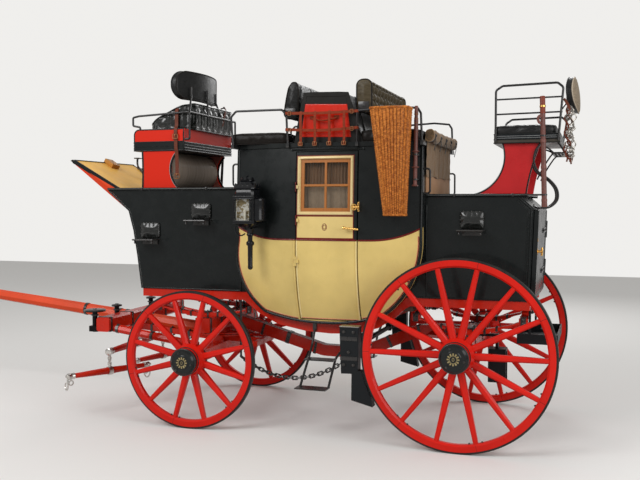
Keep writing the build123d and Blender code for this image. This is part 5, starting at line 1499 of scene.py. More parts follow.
def hind_seat_trim():
    """Mouldings, irons and the small hanging step of the guard's seat."""
    bm = bmesh.new()
    pale = bmesh.new()
    for side in SIDES:
        up = (0, side, 0)
        for z, width in ((2164, 8), (2128, 7), (2103, 7)):
            line = [(x, z) for x in range(184, 628, 55)] + [(627, z)]
            bead(bm, line, side * 330, width, 4)
        # Pale lines on the seat band: painted highlights
        for z in (2151, 2138):
            sweep(pale, [at(x, side * 330.2, z) for x in range(186, 627, 55)],
                  half_round(2.2, 1.2), up=up)
        rear = arc((500, 2098), (437, 1900), (408, 1748), 20)
        front = arc((40, 1748), (196, 1850), (236, 2098), 22)
        for edge in (rear, front):
            bead(bm, inset(edge, -5), side * 303, 10, 4)
        # Pale line on the front riser edge: a painted highlight
        bead(pale, inset(front, 0.5), side * 303.4, 4, 2.5)
    for x, way in ((629, 1), (182, -1)):
        for z in (2164, 2128, 2103):
            cross_bead(bm, x, z, range(-328, 329, 82), 8, 4, way)
    make("hind_seat_mouldings", bm, "black")
    make("hind_seat_highlight_lines", pale, "edge_highlight_line")

    bm = bmesh.new()
    for y, shift in ((-318, 0), (-276, 16)):
        path = [at(506 - shift, y, 2100), at(468 - shift, y, 2050), at(455 - shift, y, 1975),
                at(486 - shift, y, 1900), at(560 - shift, y, 1846), at(612 - shift, y, 1780),
                at(616 - shift, y, 1706), at(566 - shift, y, 1656), at(500 - shift, y, 1650),
                at(470, y, 1655), at(455, y, 1660)]
        line = curve(path, 6)
        sweep(bm, line, circle(7.5, 9))
        turned(bm, [(17, 0), (17, 4), (10, 7), (0, 7)], line[-1], (1, 0, 0), 14)
    for y in (-318, 318):
        side = math.copysign(1, y)
        sweep(bm, curve([at(468, y * 0.9, 2098), at(540, y * 0.8, 2070), at(582, y * 0.7, 2036)], 5),
              circle(6, 8))
        sweep(bm, curve([at(616, y * 0.95, 2100), at(640, y * 0.85, 2068), at(652, y * 0.7, 2040)],
                        5), circle(6, 8))
        sweep(bm, curve([at(470, y * 0.6, 1850), at(510, y * 0.62, 1930),
                         at(560, y * 0.66, 2010), at(584, y * 0.7, 2034)], 5), circle(5.5, 8))
    for x in (576, 600, 624, 648, 664):
        sweep(bm, [at(x, -232, 2034), at(x, 232, 2034)], strap_section(8, 5), up=(0, 0, 1))
    for y in range(-232, 233, 58):
        sweep(bm, [at(574, y, 2036), at(666, y, 2036)], strap_section(8, 5), up=(0, 0, 1))
    rim = [at(x, y, 2034) for x, y in ((572, -234), (668, -234), (668, 234), (572, 234))]
    sweep(bm, filled_in(rim, (0.03, 0.5, 0.97)), circle(6.5, 8), closed=True)
    make("hind_irons", bm, "iron")


def bit_bunch():
    """The spare bits and straps that hang behind the guard's seat."""
    dice = random.Random(7)
    steel, hide, gold = bmesh.new(), bmesh.new(), bmesh.new()
    y_mid = -322
    sweep(hide, curve([at(650, y_mid + 4, 2398), at(664, y_mid, 2380), at(684, y_mid, 2340),
                       at(690, y_mid - 4, 2290)], 5), strap_section(18, 4), up=(0, 1, 0))
    for number in range(11):
        z = 2330 - 31 * number
        x = 690 + 12 * math.sin(number * 2.1)
        y = y_mid + 14 * math.cos(number * 1.7)
        tilt = dice.uniform(-0.5, 0.5)
        size = dice.uniform(17, 24)
        ring = [at(x + size * math.cos(a) * math.cos(tilt), y + size * math.cos(a) * math.sin(tilt),
                   z + size * math.sin(a)) for a in turns(20)]
        sweep(steel, ring, circle(3.6, 7), closed=True)
        shank = curve([at(x + size * 0.4, y - 12, z + 10), at(x + size + 8, y - 14, z - 12),
                       at(x + size + 20 * math.sin(number), y - 8, z - 34),
                       at(x + size * 0.6, y - 4, z - 58)], 4)
        sweep(steel if number % 5 else gold, shank, circle(4.2, 7))
        if number % 2 == 0:
            across = curve([at(x - 16, y - 20, z - 4), at(x, y - 4, z - 9),
                            at(x + 10, y + 24, z - 2)], 4)
            sweep(steel, across, circle(5.5, 8),
                  scale=lambda t: 0.8 + 0.5 * abs(math.sin(t * math.pi)))
        lace = curve([at(x - 14, y + 4, z + 16), at(x - 22, y - 8, z - 14),
                      at(x - 8 + 16 * math.sin(number * 1.3), y - 14, z - 44),
                      at(x + 4, y + 2, z - 70)], 4)
        sweep(hide, lace, strap_section(11, 3), up=(0, 1, 0.2))
        if number % 4 == 1:
            boss = at(x + 8, y - 20, z - 6)
            turned(gold, [(0, 0), (12, 1), (12, 3), (6, 7), (0, 8)], boss, (0.25, -1, 0), 16)
    sweep(steel, [at(640, y_mid, 2006), at(690, y_mid - 4, 2003), at(716, y_mid - 6, 2006)],
          circle(5, 8))
    for x in (676, 696, 708):
        sweep(hide, curve([at(x, y_mid - 6, 2010), at(x + 3, y_mid - 8, 1988),
                           at(x - 2, y_mid - 6, 1966)], 4), strap_section(11, 3), up=(0, 1, 0))
    make("spare_bits", steel, "bit_steel")
    make("spare_bit_bosses", gold, "bit_steel")
    make("spare_straps", hide, "strap_brown")


def long_cases():
    """The coach-horn case and the whip case, their collars, tops and hooks."""
    bm = bmesh.new()
    steps = [(1799, 13.5), (1830, 13.5), (2150, 13.5), (2185, 16), (2215, 13), (2245, 15.5),
             (2275, 12), (2305, 14), (2330, 11), (2346, 12)]
    low = 1799
    foot, head = at(-306, -680, low), at(-301, -668, 2346)
    axis = head - foot
    turned(bm, [(r, z - low) for z, r in steps] + [(0, 548)], foot, axis, 16)
    for z, r in ((1803, 24), (1928, 26), (2036, 26)):
        turned(bm, [(12, -7), (r - 3, -3.5), (r, 0), (r - 3, 3.5), (12, 7)],
               foot.lerp(head, (z - low) / 547), axis, 20)
    case = make("horn_case", bm, "maroon")
    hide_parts("horn_cases")
    bm = bmesh.new()
    for z in (2168, 2200, 2230, 2260, 2290):
        turned(bm, [(12.5, -5), (16.5, 0), (12.5, 5)], foot.lerp(head, (z - low) / 547), axis, 14)
    make("horn_case_wrap", bm, "copper")

    foot, head = at(541, -500, 1656), at(520, -500, 2402)
    axis = head - foot
    bm = bmesh.new()
    turned(bm, [(0, 0), (17, 1), (20, 12), (17.5, 40), (16.5, 600), (17.5, 620), (17.5, 735),
                (14, 744), (0, 745)], foot, axis, 16)
    for share in (0.06, 0.36, 0.595):
        collar(bm, 16.5, 19.5, 12, 9, foot.lerp(head, share), axis, 16)
    tab = curve([at(523, -517, 2262), at(505, -520, 2266), at(494, -519, 2250),
                 at(500, -517, 2226), at(514, -514, 2216)], 5)
    sweep(bm, tab, strap_section(18, 4), up=(0, 1, 0))
    make("whip_case", bm, "maroon")
    bm = bmesh.new()
    for i in range(16):
        share = 0.845 + 0.145 * i / 15
        turned(bm, [(17.2, -2.8), (19, 0), (17.2, 2.8)], foot.lerp(head, share), axis, 12)
    make("whip_case_plait", bm, "tan")
    bm = bmesh.new()
    collar(bm, 17.8, 20.5, 8, 6, foot.lerp(head, 0.905), axis, 20)
    make("whip_case_ring", bm, "brass")
    bm = bmesh.new()
    for z in (1845, 2015):
        block(bm, at(-314, -664, z - 5), at(-298, 2 - side_y(-306, z), z + 5), 2)
        ring = [at(-305 + 19 * math.cos(a), -677 + 19 * math.sin(a), z) for a in turns(18)]
        sweep(bm, ring, strap_section(10, 3), closed=True, up=lambda p, z=z: p - at(-305, -677, z))
    for z, points in ((1739, [at(384, -478, 1741), at(470, -486, 1739), at(524, -492, 1739)]),
                      (2135, [at(520, -330, 2135), at(523, -420, 2135), at(526, -484, 2135)])):
        sweep(bm, points, circle(6, 8))
        x_mid = 541 - 21 * (z - 1656) / 746
        ring = [at(x_mid + 19 * math.cos(a), -500 + 19 * math.sin(a), z) for a in turns(18)]
        sweep(bm, ring, strap_section(10, 3), closed=True,
              up=lambda p, z=z, x=x_mid: p - at(x, -500, z))
    make("case_irons", bm, "iron")


# Lamps and apron

CLIP = 0.78
OCTAGON = ((1, -CLIP), (1, CLIP), (CLIP, 1), (-CLIP, 1), (-1, CLIP), (-1, -CLIP), (-CLIP, -1),
           (CLIP, -1))


def lamps():
    """Candle lamps: bevelled case, faceted reflector, pierced hood and turned socket."""
    x0, x1, z0, z1 = -1618, -1456, 1540, 1728
    post = 7
    for side, name in NAMED_SIDES:
        def lamp_at(x, y, z, side=side):
            return at(x, -side * y, z)

        y0, y1 = -790, -640
        mid = lamp_at((x0 + x1) / 2, (y0 + y1) / 2, 0)
        bm = bmesh.new()
        for x in (x0, x1 - post):
            for y in (y0, y1 - post):
                block(bm, lamp_at(x, y, z0), lamp_at(x + post, y + post, z1), 2)
        for z, lift in ((z0 - 6, 22), (z1 - 14, 20)):
            block(bm, lamp_at(x0 - 4, y0 - 4, z), lamp_at(x1 + 4, y1 + 4, z + lift), 3)
        block(bm, lamp_at(x1 - 7, y0 + 6, z0), lamp_at(x1, y1 - 6, z1), 1)
        block(bm, lamp_at(x0 + 6, y1 - 7, z0), lamp_at(x1 - 6, y1, z1), 1)

        def tier(half_low, half_high, low, high, bow=0.0):
            rings = []
            for t in (0, 0.25, 0.5, 0.75, 1):
                half = (half_low + (half_high - half_low) * t + bow * math.sin(math.pi * t)) * MM
                rings.append([Vector((mid.x + half * sx, mid.y + half * sy,
                                      (low + (high - low) * t) * MM)) for sx, sy in OCTAGON])
            made = loops(bm, rings)
            bm.faces.new(made[0][::-1])
            bm.faces.new(made[-1])

        tier(74, 66, 1734, 1786, 4)
        tier(80, 80, 1786, 1794)
        tier(66, 38, 1794, 1846, 6)
        tier(46, 46, 1846, 1851)
        tier(30, 16, 1851, 1868, 4)
        tier(74, 30, 1534, 1496, -6)
        for radius, low, high, lobes in ((84, 1793, 1826, 16), (45, 1850, 1870, 10)):
            petals = []
            for a in turns(lobes * 6):
                square = 1.0 / max(abs(math.cos(a)), abs(math.sin(a))) if radius > 50 else 1.0
                square = min(square, 1.16)
                crest = abs(math.sin(a * lobes / 2))
                petals.append((a, radius * square, low + (high - low) * (0.35 + 0.65 * crest)))
            inner, outer, back = [[Vector((mid.x, mid.y, (top if grow else low) * MM))
                                   + Vector((math.cos(a), math.sin(a), 0)) * ((r + grow) * MM)
                                   for a, r, top in petals] for grow in (0, 5, 2)]
            base = [v + (Vector((mid.x, mid.y, v.z)) - v).normalized() * 0.003 for v in inner]
            loops(bm, [inner, outer, back, base, inner])
        turned(bm, [(12, 0), (12, 4), (6, 7), (10, 13), (6, 18), (0, 18.5)], (mid.x, mid.y, 1.8665),
               (0, 0, 1), 14)
        foot_x = mid.x + 0.020
        profile = [(30, 300), (24, 292), (20, 270), (26, 262), (26, 254), (18, 246), (17, 214),
                   (25, 206), (27, 194), (25, 182), (19, 176), (18.5, 150), (17.5, 30), (19, 24),
                   (19, 16), (12, 4), (0, 0)]
        turned(bm, profile, (foot_x, mid.y, 1.196), (0, 0, 1), 22)
        for a in turns(14):
            rib = (foot_x + 0.0262 * math.cos(a), mid.y + 0.0262 * math.sin(a))
            sweep(bm, [Vector((*rib, 1.380)), Vector((*rib, 1.400))], circle(2.6, 5))
        barrel = lamp_at(x1, (y0 + y1) / 2, 0)
        turned(bm, [(52, 1550), (62, 1556), (64, 1566), (62, 1574), (62, 1694), (64, 1702),
                    (62, 1712), (50, 1718), (0, 1722)], (barrel.x - 0.004, barrel.y, 0), (0, 0, 1),
               28)
        for z in (1506, 1606):
            block(bm, lamp_at(-1536, -700 if z > 1600 else -715, z - 6),
                  lamp_at(-1512, 3 - side_y(-1524, z), z + 6), 2)
        for i in range(4):
            for z in (1746, 1772):
                spot = lamp_at(x0 + 24 + 34 * i, y0 + (8 if z < 1760 else 11), z)
                turned(bm, [(7.5, 0), (6, 3), (0, 4.2)], spot, (0, side, 0), 10)
        hook = curve([lamp_at(x0 + 14, y0 + 30, 1532), lamp_at(x0 + 2, y0 + 28, 1500),
                      lamp_at(x0 + 14, y0 + 30, 1462), lamp_at(x0 + 46, y0 + 40, 1448),
                      lamp_at(x0 + 70, y0 + 56, 1462)], 6)
        sweep(bm, hook, circle(5.2, 8))
        body = make("lamp_case_" + name, bm, "lamp_black")
        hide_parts("lamp_bodies")

        dice = random.Random(21)
        mirror = bmesh.new()

        def facets(corner, u, v, columns, rows, out):
            for a in range(columns):
                for b in range(rows):
                    spot = corner + u * (a / columns) + v * (b / rows)
                    peak = out * dice.uniform(-0.006, 0.010)
                    ring = [mirror.verts.new(p) for p in (
                        spot, spot + u / columns, spot + u / columns + v / rows, spot + v / rows)]
                    tip = mirror.verts.new(spot + u / columns / 2 + v / rows / 2 + peak)
                    for i in range(4):
                        mirror.faces.new((ring[i], ring[(i + 1) % 4], tip))

        facets(lamp_at(x0 + 5, y0 + 42, z0 + 16), lamp_at(x1 - 8, 0, 0) - lamp_at(x0 + 5, 0, 0),
               Vector((0, 0, 0.168)), 6, 7, lamp_at(0, -1, 0) - lamp_at(0, 0, 0))
        facets(lamp_at(x1 - 10, y0 + 8, z0 + 16), lamp_at(0, y1 - 8, 0) - lamp_at(0, y0 + 8, 0),
               Vector((0, 0, 0.168)), 6, 7, lamp_at(-1, 0, 0) - lamp_at(0, 0, 0))
        make("lamp_mirror_" + name, mirror, "mirror", smooth=False)
        wax = bmesh.new()
        turned(wax, [(14, 0), (14, 12), (9, 16), (9, 80), (7, 83), (2, 83), (1.2, 94), (0, 94)],
               (mid.x, lamp_at(0, y0 + 26, 0).y, 1.552), (0, 0, 1), 16)
        make("lamp_candle_" + name, wax, "wax")
        bezel = bmesh.new()
        for fixed in ("y", "x"):
            ring = []
            wide = (x1 - x0 if fixed == "y" else y1 - y0) - 6
            for a, b in ((6, 15), (wide, 15), (wide, 173), (6, 173)):
                ring.append(lamp_at(x0 + a, y0 - 1, z0 + b) if fixed == "y"
                            else lamp_at(x0 - 1, y0 + a, z0 + b))
            sweep(bezel, filled_in(ring, (0.02, 0.5, 0.98)), circle(3.5, 8), closed=True)
        make("lamp_bezel_" + name, bezel, "lamp_black")


def apron():
    """The rolled weather apron, its ties and the creased sheet that hangs from it."""
    ties = (-430, -215, 0, 215, 430)
    half, flutes, sides = 498, 96, 28
    bm = bmesh.new()
    rings = []
    for i in range(flutes + 1):
        y = -half + 2 * half * i / flutes
        near = min(abs(y - tie) for tie in ties)
        pinch = 9 * math.exp(-(near / 22) ** 2)
        sag = 6 * math.sin(math.pi * (y + half) / (2 * half))
        ring = []
        for a in turns(sides):
            wrinkle = (1.9 * math.sin(y / 19 + 2 * math.sin(a * 2)) +
                       1.6 * math.sin(y / 47 + 3 * a) + 1.2 * math.sin(y / 9.0 + a * 5)) \
                * (1 - math.exp(-(near / 34) ** 2) * 0.6)
            overlap = 3.0 if 0.4 < a < 1.3 else 0.0
            r_x = 33 - pinch * 0.7 + wrinkle + overlap
            r_z = 45 - pinch + wrinkle + overlap
            ring.append(at(ROLL_X + r_x * math.cos(a), y, ROLL_Z - sag + r_z * math.sin(a)))
        rings.append(ring)
    made = loops(bm, rings)
    bm.faces.new(made[0])
    bm.faces.new(made[-1])
    roll = make("apron_roll", bm, "canvas")
    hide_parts("canvas_apron")
    bm = bmesh.new()
    # Dark spirals on the roll's ends: painted shadow between the rolled layers
    for end in (-499, 499):
        for turn in range(3):
            spiral = [at(ROLL_X + (28 - turn * 9 - k * 0.4) * math.cos(k / 3.2),
                         end, ROLL_Z + (38 - turn * 12 - k * 0.5) * math.sin(k / 3.2))
                      for k in range(20)]
            sweep(bm, spiral, circle(2.2, 5))
    make("apron_end_shadow_spiral", bm, "canvas_shade")
    bm = bmesh.new()
    buckles = bmesh.new()
    for tie in ties:
        sag = 6 * math.sin(math.pi * (tie + half) / (2 * half))
        loop = [at(ROLL_X + 30 * math.cos(a), tie + 1.5 * math.sin(3 * a), ROLL_Z - sag
                   + 41 * math.sin(a)) for a in turns(24)]
        sweep(bm, loop, strap_section(18, 4), closed=True,
              up=lambda p, t=tie, s=sag: p - at(ROLL_X, t, ROLL_Z - s))
        tail = curve([at(-214, tie + 3, 2146 - sag), at(-211, tie + 5, 2110),
                      at(-219, tie + 9, 2080), at(-224, tie + 6, 2056)], 5)
        sweep(bm, tail, strap_section(16, 3), up=(1, 0, 0.1))
        buckle(buckles, at(-211, tie, 2160 - sag), (0, 0, 1), (1, 0, 0), 24, 2.4)
    make("apron_ties", bm, "black_leather")
    make("apron_buckles", buckles, "iron")

    bm = bmesh.new()
    columns, rows = 110, 36

    def hanging(i, j):
        y, t = -486 + 972 * i / columns, j / rows
        fold = (4.2 * math.sin(y / 31 + 1.3 * math.sin(t * 3)) + 2.6 * math.sin(y / 13.7 + 2.1 * t)
                + 1.6 * math.sin(y / 7.1 + 5 * t)) * (0.35 + 0.65 * t)
        crease = 1.5 * math.sin(t * 21 + y / 60) * math.sin(y / 90)
        low = 1872 + 5 * math.sin(y / 50) + 3 * math.sin(y / 17)
        return at(-263 + fold * 0.8 + crease, y * (1 - 0.006 * t), 2136 + (low - 2136) * t)

    grid(bm, columns, rows, hanging)
    sheet = make("apron_sheet", bm, "canvas")
    hem = bmesh.new()
    sweep(hem, [at(-263 + 0.8 * (4.2 * math.sin(y / 31 + 1.3 * math.sin(3))), y * 0.994,
                   1873 + 5 * math.sin(y / 50)) for y in range(-484, 485, 11)], circle(3, 6))
    hem_piece = make("apron_hem", hem, "canvas")
    bm = bmesh.new()
    block(bm, at(-276.5, -468, 1750), at(-268, 468, 1886), 3)
    make("rear_tan_panel", bm, "tan_board")


# Running gear

def wheel_point(end, side):
    """A map from radius, angle and reach along the axle to a point of one wheel."""
    hub = WHEEL_RADIUS[end]
    place = steered if end == "front" else at

    def point(r, angle, out):
        return place(r * math.cos(angle), side * (HALF_TRACK + out), hub + r * math.sin(angle))

    return point


def wheel_trim():
    """Brass rings and centres on the caps, nave bands, felloe joints, bolts and dust lines."""
    for end, felloes, reach in (("front", 6, 136), ("rear", 7, 142)):
        radius = WHEEL_RADIUS[end]
        for side, name in NAMED_SIDES:
            point = wheel_point(end, side)
            body = f"wheel_{end}_{name}"
            out = point(0, 0, 10) - point(0, 0, 0)

            def hoop(bm, r, reach_out, section, point=point, out=out):
                sweep(bm, [point(r, a, reach_out) for a in turns(48)], section, closed=True, up=out)

            brass = bmesh.new()
            hoop(brass, 25, reach + 0.6, half_round(3, 1.5))
            for angle in turns(12):
                line = [point(r, angle, reach + 0.6) for r in (28, 35, 42)]
                sweep(brass, line, strap_section(9.5, 2.4), up=out)
            oval = [point(math.hypot(7 * math.cos(a), 11 * math.sin(a)),
                          math.atan2(11 * math.sin(a), 7 * math.cos(a)), reach + 0.4)
                    for a in turns(12)]
            sweep(brass, oval, half_round(3, 1.8), closed=True, up=out)
            make(f"cap_brass_{end}_{name}", brass, "old_brass", body)
            black = bmesh.new()
            for turn in (-10, 110, 230):
                nut(black, point(72, math.radians(turn), reach - 4.5), out, 8.5, 7)
            hoop(black, 95.5, reach - 22, half_round(12, 3))
            hoop(black, 93.5, reach - 40, half_round(6, 2.5))
            hoop(black, 99.5, 63, [(-5, -4), (5, -4), (5, 3.5), (-5, 3.5)])
            hoop(black, 119, -40, [(-6, -6), (6, -6), (6, 4), (-6, 4)])
            make(f"nave_bands_{end}_{name}", black, "iron", body)
            seams = bmesh.new()
            bolts = bmesh.new()
            half = math.pi / felloes
            for number in range(felloes):
                a = half * (2 * number + 1)
                if end == "front":
                    a += math.radians(15) + half
                for face in (-27.2, 27.2):
                    line = [point(r, a, face) for r in range(radius - 58, radius - 15, 6)]
                    sweep(seams, line, half_round(2.2, 0.7), up=out * (1 if face > 0 else -1))
                inner = [point(radius - 65.3, a, w) for w in (-14, 0, 14)]
                sweep(seams, inner, half_round(2.2, 0.7), up=point(0, 0, 0) - point(radius, a, 0))
                for lean in (-0.075, 0.075):
                    spot = point(radius - 64.8, a + lean, 0)
                    nut(bolts, spot, point(0, 0, 0) - spot, 7.5, 6)
            make(f"felloe_seams_{end}_{name}", seams, "crimson", body)
            make(f"felloe_bolts_{end}_{name}", bolts, "iron", body)


def band_round(bm, centre, across, upward, half_across, half_up, width, thick):
    """A flat iron band round an oblong bar, as one closed strap."""
    corners = [centre + across * half_across * MM * a + upward * half_up * MM * u
               for a, u in ((-1, -1), (1, -1), (1, 1), (-1, 1))]
    sweep(bm, filled_in(corners, (0.04, 0.5, 0.96)), strap_section(width, thick),
          closed=True, up=lambda p: p - centre)


def spring_trim():
    """Clips, shackles, U bolts and perch bands under the coach."""
    leaf, spring_y = 4.25, 350
    bm = bmesh.new()
    steel = bmesh.new()
    for middle, half, seat in ((-2061, 390, 786.3), (20, 380, 752.3)):
        top = seat + 25.5
        rise = 852 - top
        for side in SIDES:
            y = side * spring_y
            for share, leaves in ((-0.52, 3), (0.52, 3), (-0.30, 4), (0.30, 4)):
                mid = top + rise * share * share - leaf * (leaves - 1) + 4.5
                tall = leaf * (leaves - 1) + 6
                centre = at(middle + half * share, y, mid)
                band_round(bm, centre, AXIS_Y, AXIS_Z, 29, tall, 16, 3)
                nut(steel, at(middle + half * share, y, mid + tall + 1), (0, 0, 1), 7, 6)
            for dx in (-34, 34):
                band_round(bm, at(middle + dx, y, seat + 8), AXIS_Y, AXIS_Z, 34, 30, 12, 9)
                for dy in (-30, 30):
                    nut(bm, at(middle + dx, y + dy, seat + 42), (0, 0, 1), 10, 9)
            block(bm, at(middle - 46, y - 38, seat + 36), at(middle + 46, y + 38, seat + 41), 2)
        for x in (middle - half, middle + half):
            for side in SIDES:
                y = side * spring_y
                for face in SIDES:
                    block(bm, at(x - 19, y + face * 31, 826), at(x + 19, y + face * 37, 884), 3)
                    for z in (840, 868):
                        turned(steel, [(10, 0), (9, 5), (4, 8), (0, 8.5)], at(x, y + face * 37, z),
                               (0, face, 0), 12)
                for share in (0.45, 0.78):
                    leaves = 4 if share < 0.5 else 2
                    z = 883 - 31 * share * share + leaf * (leaves - 1) + 4.5
                    band_round(bm, at(x, side * spring_y * share, z), AXIS_X,
                               AXIS_Z, 29, leaf * (leaves - 1) + 6, 14, 3)
            for dy in (-36, 36):
                band_round(bm, at(x, dy, 905), AXIS_X, AXIS_Z, 37, 30, 10, 8)
    make("spring_clips", bm, "iron")
    make("spring_bolts", steel, "iron")

    bm = bmesh.new()
    stations = ((-1700, 656, -0.32), (-1480, 597, -0.30), (-1250, 527, -0.2), (-880, 512, 0.22),
                (-640, 609, 0.50), (-407, 702, 0.2))
    for x, z, slope in stations:
        across = AXIS_Y
        along = Vector((1, 0, slope)).normalized()
        upward = along.cross(across) * -1
        band_round(bm, at(x, 0, z), across, upward, 39, 46, 34 if x in (-1480, -880) else 22, 4)
        for side in SIDES:
            nut(bm, at(x, side * 41, z), (0, side, 0), 9, 7)
    for x in (-WHEELBASE - 30, -WHEELBASE + 30):
        for y in (-430, -300, -120, 120, 300, 430):
            nut(bm, at(x, y, 786), (0, 0, 1), 9, 7)
    for side in SIDES:
        for y in (440, 250):
            band_round(bm, at(-WHEELBASE, side * y, 729), AXIS_X, AXIS_Z, 62, 59, 26, 4)
        for y in (600, 500, 200):
            band_round(bm, at(0, side * y, 685), AXIS_X, AXIS_Z, 48, 68, 24, 4)
            for x in (30, -30):
                nut(bm, at(x, side * y, 753), (0, 0, 1), 9, 8)
    make("perch_bands", bm, "iron")

    bm = bmesh.new()
    dice = random.Random(3)
    knot = at(-104, -428, 800)
    for number in range(16):
        centre = knot + Vector((dice.uniform(-0.026, 0.026), dice.uniform(-0.018, 0.018),
                                -11 * number * MM))
        flat = dice.uniform(0, math.pi)
        lean = dice.uniform(-0.6, 0.6)
        u = Vector((math.cos(flat), math.sin(flat), lean)).normalized()
        v = u.cross(Vector((math.sin(flat), -math.cos(flat), 0.3))).normalized()
        link = [centre + u * 0.021 * math.cos(a) + v * 0.012 * math.sin(a) for a in turns(16)]
        sweep(bm, link, circle(4.4, 7), closed=True)
    for dx, dy in ((-26, -10), (24, 8), (4, -20)):
        hook = curve([knot + Vector((dx * share * MM, dy * MM, drop)) for share, drop in (
            (1, -0.12), (1.5, -0.165), (0.6, -0.205), (-0.5, -0.185), (-0.6, -0.155))], 5)
        sweep(bm, hook, circle(6, 8))
    sweep(bm, [knot + Vector((0, -0.002, 0.06)), knot + Vector((0, 0, -0.004))], circle(7.5, 8))
    block(bm, at(-130, -446, 862), at(-78, -414, 874), 3)
    make("spare_chain_bunch", bm, "iron")


def brake_trim():
    """Brake block faces, bolts and plates, shaft collars, and the hand lever's ratchet."""
    bm = bmesh.new()
    light = bmesh.new()
    for side in SIDES:
        block(light, at(-812, side * 719, 822), at(-672, side * 793, 829), 2)
        for x, z in ((-780, 790), (-710, 790), (-780, 560), (-710, 560), (-745, 650)):
            nut(bm, at(x, side * 792.5, z), (0, side, 0), 12, 9)
        for z in (742, 604):
            block(bm, at(-806, side * 792, z - 14), at(-682, side * 796, z + 14), 2)
        for y in (500, 620, 700):
            collar(bm, 19, 27, 16, 14, at(-762, side * y, 650), (0, 1, 0), 20)
        block(bm, at(-790, side * 414, 700), at(-734, side * 446, 716), 3)
    make("brake_plates", light, "bit_steel")
    make("brake_bolts", bm, "iron")
    bm = bmesh.new()
    for i in range(14):
        x = -2414 + 12.6 * i
        block(bm, at(x, 466, 1640), at(x + 7, 472.5, 1650), 1)
    turned(bm, [(8, 0), (17, 4), (18.5, 30), (16.5, 60), (18.5, 95), (12, 108), (0, 112)],
           at(-2299.6, 511, 2292), (0.033, 0, 1), 18)
    sweep(bm, [at(-2316, 513, 2280), at(-2326, 516, 2210), at(-2322, 514, 2120)], circle(4.5, 8))
    make("brake_lever_trim", bm, "steel")


def draught_trim():
    """Steel ferrules, chains and hooks on the bars, bands on the splinter bar and the pole."""
    steel, black = bmesh.new(), bmesh.new()
    table = ((-842, -459, 330, 30.4), (-818, 441, 300, 17.0))
    for side in SIDES:
        y = side * 455
        turned(steel, [(24.5, -30.5), (28.5, -29), (28.5, -20), (27.5, -18), (27.5, 18), (29, 20),
                       (29, 29), (18, 34), (6, 34.5)], steered(-840, y, 485),
               heading(0, side, 0), 22)
        x, y_lead, z_lead, _ = table[0 if side < 0 else 1]
        high, low = 462, z_lead + 44
        links = 4
        pitch = (high - low) / links
        for number in range(links):
            z = high - pitch * (number + 0.5)
            wide = AXIS_X if number % 2 else AXIS_Y
            loop = [steered(x, y_lead, z) + wide * 0.0155 * math.cos(a)
                    + Vector((0, 0, (pitch * 0.5 + 6) * MM * math.sin(a))) for a in turns(20)]
            sweep(steel, loop, circle(4.2, 8), closed=True)
    for x, y, z, turn in table:
        angle = math.radians(-turn)
        axis = Vector((-math.sin(angle), math.cos(angle), 0))

        def bar(t, dx, dz, x=x, y=y, z=z, axis=axis):
            return steered(x + axis.x * t + axis.y * dx, y + axis.y * t - axis.x * dx, z + dz)

        for side in SIDES:
            out = bar(side * 10, 0, 0) - bar(0, 0, 0)
            turned(steel, [(20.5, -28.5), (25, -27), (25, -19), (24, -17), (24, 16), (25.5, 18),
                           (25.5, 26), (13, 31), (0, 31.5)], bar(side * 338, 0, 0), out, 20)
            hook = curve([bar(side * 366, 0, -8), bar(side * 369, 6, -40),
                          bar(side * 369, 8, -72), bar(side * 366, -6, -100),
                          bar(side * 362, -34, -110), bar(side * 358, -58, -92),
                          bar(side * 358, -56, -66), bar(side * 360, -38, -56)], 6)
            sweep(steel, hook, circle(7, 9), scale=lambda t: 1.15 - 0.45 * t)
            turned(steel, [(0, -13), (9, -10), (14, 0), (9, 10), (0, 13)], bar(side * 372, 0, 4),
                   out, 14)
        nut(steel, bar(0, 0, 49), (0, 0, 1), 12, 10)
    make("bar_ferrules", steel, "steel", "front_carriage")
    across = heading(1, 0, 0).normalized()
    for y in (-640, -300, 300, 640):
        band_round(black, steered(-771, y, 736.5), across, AXIS_Z, 56.5, 57, 26, 4)
    for y in (-640, -300, 300, 640):
        r = 84 if abs(y) > 500 else 42
        turned(black, [(r, -1), (r + 2, 3), (r - 4, 7.5), (r * 0.6, 10), (16, 11), (14, 15),
                       (0, 16.5)], steered(-862, y, 841), (0, 0, 1), 32)
        collar(black, 20.5, 30, 6, 4, steered(-862, y, 806), (0, 0, 1), 20)
        for z in (688, 708):
            nut(black, steered(-900, y, z), heading(-1, 0, 0), 7, 6)
    for side in SIDES:
        y = side * 93
        for x in (-640, -460, -300):
            z = 690 - (x + 860) * 72 / 604
            band_round(black, steered(x, y, z - 31), AXIS_Y, AXIS_Z, 26.5, 32.5, 22, 3.5)
            nut(black, steered(x, y, z + 4), (0, 0, 1), 9, 7)
        for share in (0.12, 0.5, 0.88):
            px, py, pz = (-775 + 755 * share, side * (600 - 40 * share), 712 - 122 * share)
            collar(black, 34.5, 37.5, 12, 10, steered(px, py, pz),
                   heading(755, side * -40, -122), 8)
    rise = (1012 - 639.3) / (3560 - 250)
    along = heading(-1, 0, rise).normalized()

    def on_pole(x):
        return steered(x, 0, 639.3 + (-250 - x) * rise)

    for x, r in ((-930, 54.5), (-1000, 54), (-1320, 52.5), (-2260, 47.5)):
        collar(black, r - 3, r + 1, 13, 11, on_pole(x), along, 24)
    turned(black, [(41.5, -100), (45, -98), (45, 20), (43, 26), (38.5, 30)], on_pole(-3480), along,
           26)
    hook = curve([on_pole(-3484) + Vector((0, 0, 0.042)), on_pole(-3530) + Vector((0, 0, 0.070)),
                  on_pole(-3552) + Vector((0, 0, 0.045)), on_pole(-3540) + Vector((0, 0, 0.016))],
                 6)
    sweep(black, hook, circle(8.5, 10), scale=lambda t: 1.0 - 0.4 * t)
    for side in SIDES:
        loop = [on_pole(-3455) + Vector((0.016 * math.cos(a), side * 0.046,
                                         -0.018 + 0.030 * math.sin(a))) for a in turns(18)]
        sweep(black, loop, circle(5.2, 8), closed=True)
    make("draught_bands", black, "iron", "front_carriage")


